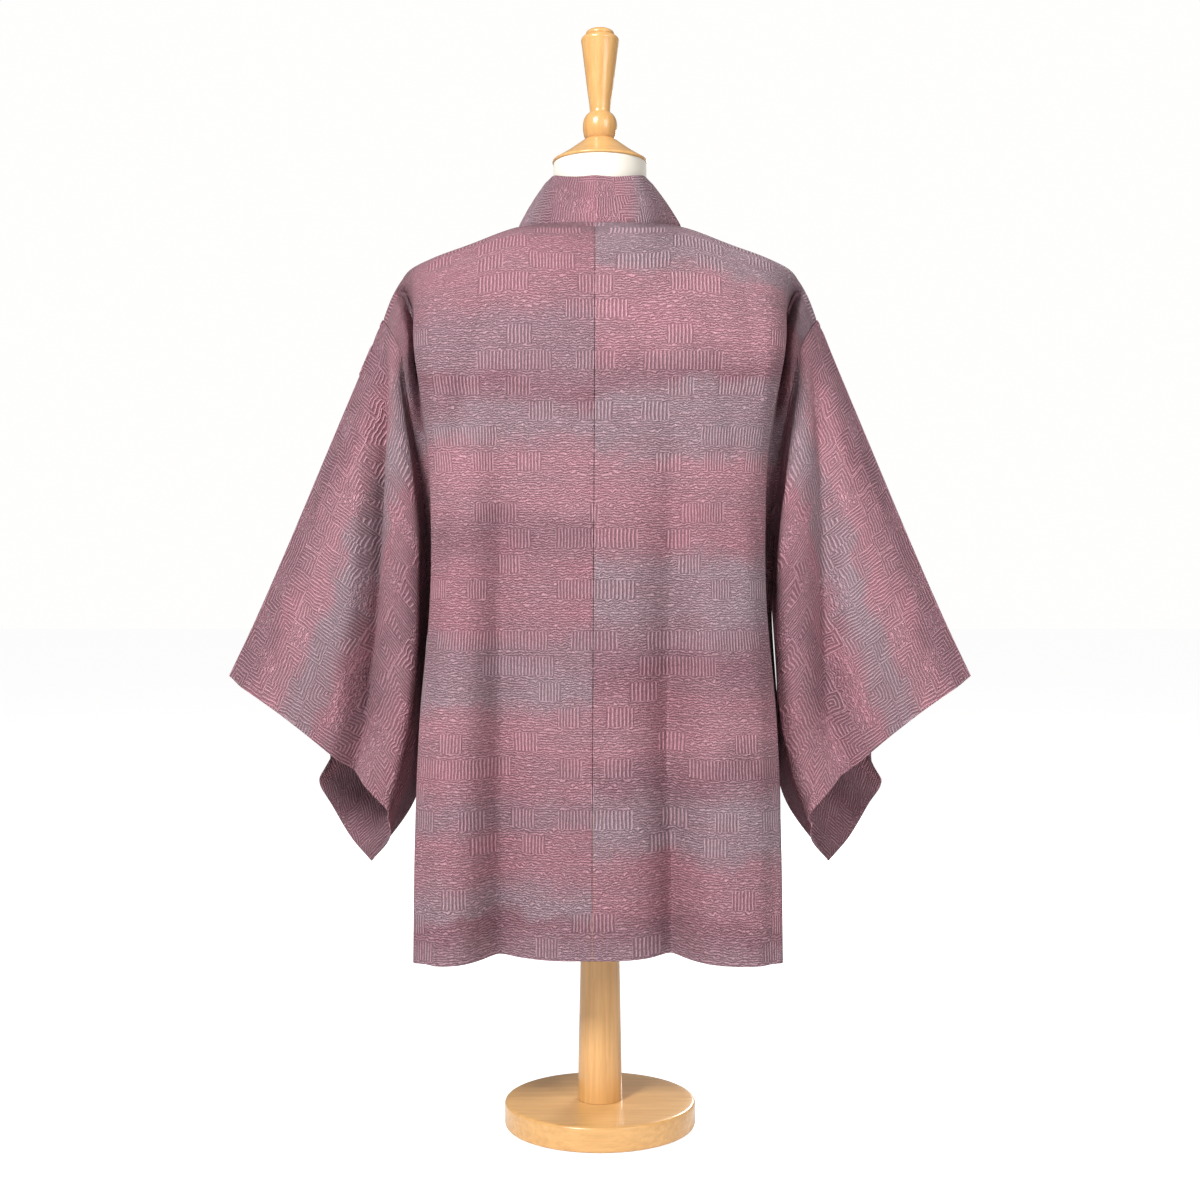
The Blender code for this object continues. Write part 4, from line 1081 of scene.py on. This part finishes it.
def armhole_ring(side, front, around):
    """The armhole's edge for the sleeve, whose ring closes under the arm between the two panels."""
    coarse = np.linspace(0, UNDERARM_ROW, 13)
    ring = body_surface(side, front, coarse, np.array((COLUMN_AT[-1],)))[:, 0]
    ring[:, 0] += side * SLEEVE_STEP
    ring[1:, 1] += (-1 if front else 1) * SLEEVE_STEP / 2
    ring[-1, 1] = 0.0
    ring[-1, 2] -= 0.004
    return hermite(ring, coarse / UNDERARM_ROW, around)


def sleeve_surface(side, lengths, around):
    """Points of the sleeve's outside: a row for each length, from the bottom seam up the front to the
    top fold and down the back to the bottom seam again, with each point's flat place."""
    halves = []
    for front, table in ((True, SLEEVE_FRONT), (False, SLEEVE_BACK)):
        rings = [armhole_ring(side, front, around)]
        rings += [hermite(sleeve_place(side, row), SLEEVE_AT, around) for row in table.values()]
        rings = np.array(rings)
        halves.append(np.array([hermite(rings[:, a], SLEEVE_KNOTS, lengths) for a in range(len(around))]))
    front, back = (np.swapaxes(half, 0, 1) for half in halves)
    grid = np.concatenate((front[:, ::-1], back[:, 1:]), axis=1)
    grid[:, -1] = grid[:, 0]
    middle = len(around) - 1
    steps = np.linalg.norm(np.diff(grid, axis=1), axis=-1)
    along = np.concatenate((np.zeros((len(lengths), 1)), np.cumsum(steps, axis=1)), axis=1)
    along -= along[:, middle:middle + 1]
    steps = np.linalg.norm(np.diff(grid, axis=0), axis=-1)
    across = np.concatenate((np.zeros((1, grid.shape[1])), np.cumsum(steps, axis=0)))
    return grid, across, along


def sleeve_normals(side, grid):
    """Outward normals of the closed sleeve."""
    normals = outward_normals(grid[:, :-1], closed=True)
    normals = np.concatenate((normals, normals[:, :1]), axis=1)
    middle = grid[:, :-1].mean(axis=1, keepdims=True)
    if ((grid - middle) * normals).sum(axis=-1).mean() < 0:
        normals = -normals
    return normals


sleeve_lengths = np.concatenate(((0.0016, 0.004, 0.008), np.linspace(0.014, 0.986, 92), (0.992, 0.9965, 1.0)))
sleeve_around = np.concatenate(((0.0, 0.004, 0.010), np.linspace(0.018, 0.982, 58), (0.990, 0.996, 1.0)))
SLEEVE_DYES = (
    (-0.32, PLUM), (-0.26, MAUVE), (-0.21, PLUM), (-0.18, ROSE), (-0.15, MAUVE), (-0.11, LILAC), (-0.07, ROSE),
    (-0.03, MAUVE), (0.00, MAUVE), (0.022, MAUVE), (0.040, ROSE), (0.060, PINK), (0.080, SLATE), (0.100, SLATE),
    (0.118, ROSE), (0.150, MAUVE), (0.185, ROSE), (0.215, PINK), (0.250, ROSE), (0.275, LILAC), (0.30, MAUVE),
    (0.32, MAUVE),
)
SLEEVE_FIGURE = {
    "Block Width": 0.0225, "Block Height": 0.0235, "Rib": 0.0025, "Figure Rib": 0.0034, "Margin": 0.0008,
    "Stripes": 0.22, "Nested": 0.07, "Corners": 0.34, "Ground": 0.85, "Fineness": 2.4, "Waver": 0.0060,
}
# Painted light: the sleeves' silk is painted lighter, the right one much more, in place of the key lamp's light,
# which falls from the left.
SLEEVE_PAINTED_LIGHT = {1: 1.04, -1: 1.22}
for side, name, node, creases in (
    (1, "sleeve_cloth_left", "sleeve_left", LEFT_SLEEVE_CREASES),
    (-1, "sleeve_cloth_right", "sleeve_right", RIGHT_SLEEVE_CREASES),
):
    grid, across, along = sleeve_surface(side, sleeve_lengths, sleeve_around)
    normals = sleeve_normals(side, grid)
    near_ends = smooth_step(sleeve_lengths / 0.10) * (0.6 + 0.4 * smooth_step((1 - sleeve_lengths) / 0.20))
    moved = creases_at(across, along, creases) * near_ends[:, None]
    seam_off = np.minimum(along - along[:, :1], along[:, -1:] - along)
    leaning = smooth_step((sleeve_lengths - LEAN_FROM) / LEAN_RISE)
    leaning *= smooth_step((LEAN_TO - sleeve_lengths) / LEAN_FADE)
    moved += SEAM_PUSH[side] * leaning[:, None] * np.exp(-((seam_off / SEAM_WIDE) ** 2))
    moved -= 0.0018 * np.exp(-((across / 0.009) ** 2))  # flush with the armhole's edge
    grid = grid + moved[..., None] * normals
    for back, path in ((1, creases["long_fold"][0]), (-1, creases["front_fold"][0])):
        fold_at = np.interp(across, [point[0] for point in path], [abs(point[1]) for point in path])
        out, ends = BROAD_FLAT[side]
        broad = smooth_step(back * along / 0.024) * smooth_step((fold_at - ends / 2 + 0.012 - back * along) / ends)
        grid[..., 1] += back * out * broad * smooth_step(across / 0.16)
    tucked_in = grid[:1] * (1, 0.90, 1) - (side * 0.0035, 0, 0.001)
    grid, normals = np.concatenate((tucked_in, grid)), np.concatenate((normals[:1], normals))
    across, along = np.concatenate((across[:1] - 0.007, across)), np.concatenate((along[:1], along))
    sleeve = cloth_piece(name, grid, across, along, normals, ring=True)
    sleeve_silk = silk("silk_" + node, -0.32, 0.64, SLEEVE_DYES, painted_light=SLEEVE_PAINTED_LIGHT[side], **SLEEVE_FIGURE)
    put_on(sleeve, sleeve_silk, node)

# The collar: one long folded band, sewn round the neck and down both fronts to the hem. It stands up
# behind the neck and turns down flat on the chest.
COLLAR_WIDTH = 0.0550
COLLAR_WALL = 0.0024
# How the collar band leans away from its seam: share of the way from the middle of the back to the
# front hem, then the direction from the seam to the free edge.
COLLAR_LEAN = (
    (0.00, (0.00, -0.335, 0.94)),
    (0.032, (-0.165, -0.345, 0.925)),
    (0.073, (-0.25, -0.20, 0.945)),
    (0.129, (-0.53, 0.00, 0.85)),
    (0.156, (-0.65, -0.06, 0.75)),
    (0.183, (-0.74, -0.04, 0.64)),
    (0.24, (-0.88, -0.08, 0.42)),
    (0.30, (-0.97, -0.10, 0.16)),
    (0.50, (-1.00, -0.05, 0.02)),
    (1.00, (-1.00, 0.03, 0.00)),
)


def collar_seam(side):
    """The line that the collar is sewn to on one side, from the middle of the back to the front hem."""
    back = body_surface(side, False, np.array((0.0,)), np.linspace(0, NECK_AT, 26))[0]
    rows = rows_at(np.linspace(0, PANEL_LENGTH, 160))
    front = body_surface(side, True, rows, np.array((NECK_AT,)))[:, 0]
    front[0] = back[-1]
    return np.concatenate((back, front[1:]))


def collar_surface(across):
    """Points of the collar band's outside, from the right front hem round the neck to the left."""
    sides = []
    for side in (1, -1):
        seam = collar_seam(side)
        steps = np.linalg.norm(np.diff(seam, axis=0), axis=1)
        along = np.concatenate(((0,), np.cumsum(steps))) / steps.sum()
        lean = hermite([row[1] for row in COLLAR_LEAN], [row[0] for row in COLLAR_LEAN], along)
        lean /= np.linalg.norm(lean, axis=1)[:, None]
        lean[:, 0] *= side
        start = seam + lean * SEAM_GAP
        sides.append(start[:, None] + lean[:, None] * COLLAR_WIDTH * across[None, :, None])
    left, right = sides
    left[0] = right[0] = (left[0] + right[0]) / 2
    return np.concatenate((right[::-1], left[1:]))


collar_across = np.array((-0.07, 0, 0.02, 0.05, 0.10, 0.18, 0.28, 0.40, 0.52, 0.64, 0.76, 0.86, 0.93, 0.97, 1.0))
grid = collar_surface(collar_across)
steps = np.linalg.norm(np.diff(grid[:, 0], axis=0), axis=-1)
along = np.concatenate(((0.0,), np.cumsum(steps)))[:, None] + np.zeros(len(collar_across))
across = np.zeros(len(grid))[:, None] + collar_across * COLLAR_WIDTH
normals = outward_normals(grid)
if normals[len(grid) // 2, 5, 1] < 0:
    normals = -normals
swell = 0.0012 * np.sin(np.pi * collar_across) - 0.0006 * np.exp(-((collar_across / 0.03) ** 2))
swell[0] = -0.0014  # the turning lies under the body's edge
grid = grid + swell[None, :, None] * normals
collar = cloth_piece("collar_band", grid, across, along, normals, wall=COLLAR_WALL, edge=0.0009)
COLLAR_FIGURE = {
    "Block Width": 0.0190, "Block Height": 0.0260, "Rib": 0.0029, "Figure Rib": 0.0031, "Margin": 0.0012,
    "Stripes": 0.28, "Nested": 0.10, "Corners": 0.20, "Ground": 0.8,
}
COLLAR_DYES = (
    (0.00, ROSE), (0.10, SLATE), (0.18, ROSE), (0.28, MAUVE), (0.38, LILAC), (0.48, ROSE), (0.58, SLATE),
    (0.66, PINK), (0.73, MAUVE), (0.80, MAUVE), (0.845, LILAC), (0.875, SLATE), (0.905, ROSE), (0.935, ROSE),
    (0.98, MAUVE), (1.06, SLATE), (1.16, ROSE), (1.26, LILAC), (1.36, MAUVE), (1.46, ROSE), (1.56, SLATE),
    (1.66, MAUVE), (1.80, ROSE),
)
# The collar's silk is painted 12% lighter than the body's: painted light, in place of light that the collar doesn't
# get.
put_on(collar, silk("silk_collar", 0.0, 1.80, COLLAR_DYES, painted_light=1.12, **COLLAR_FIGURE), "collar")
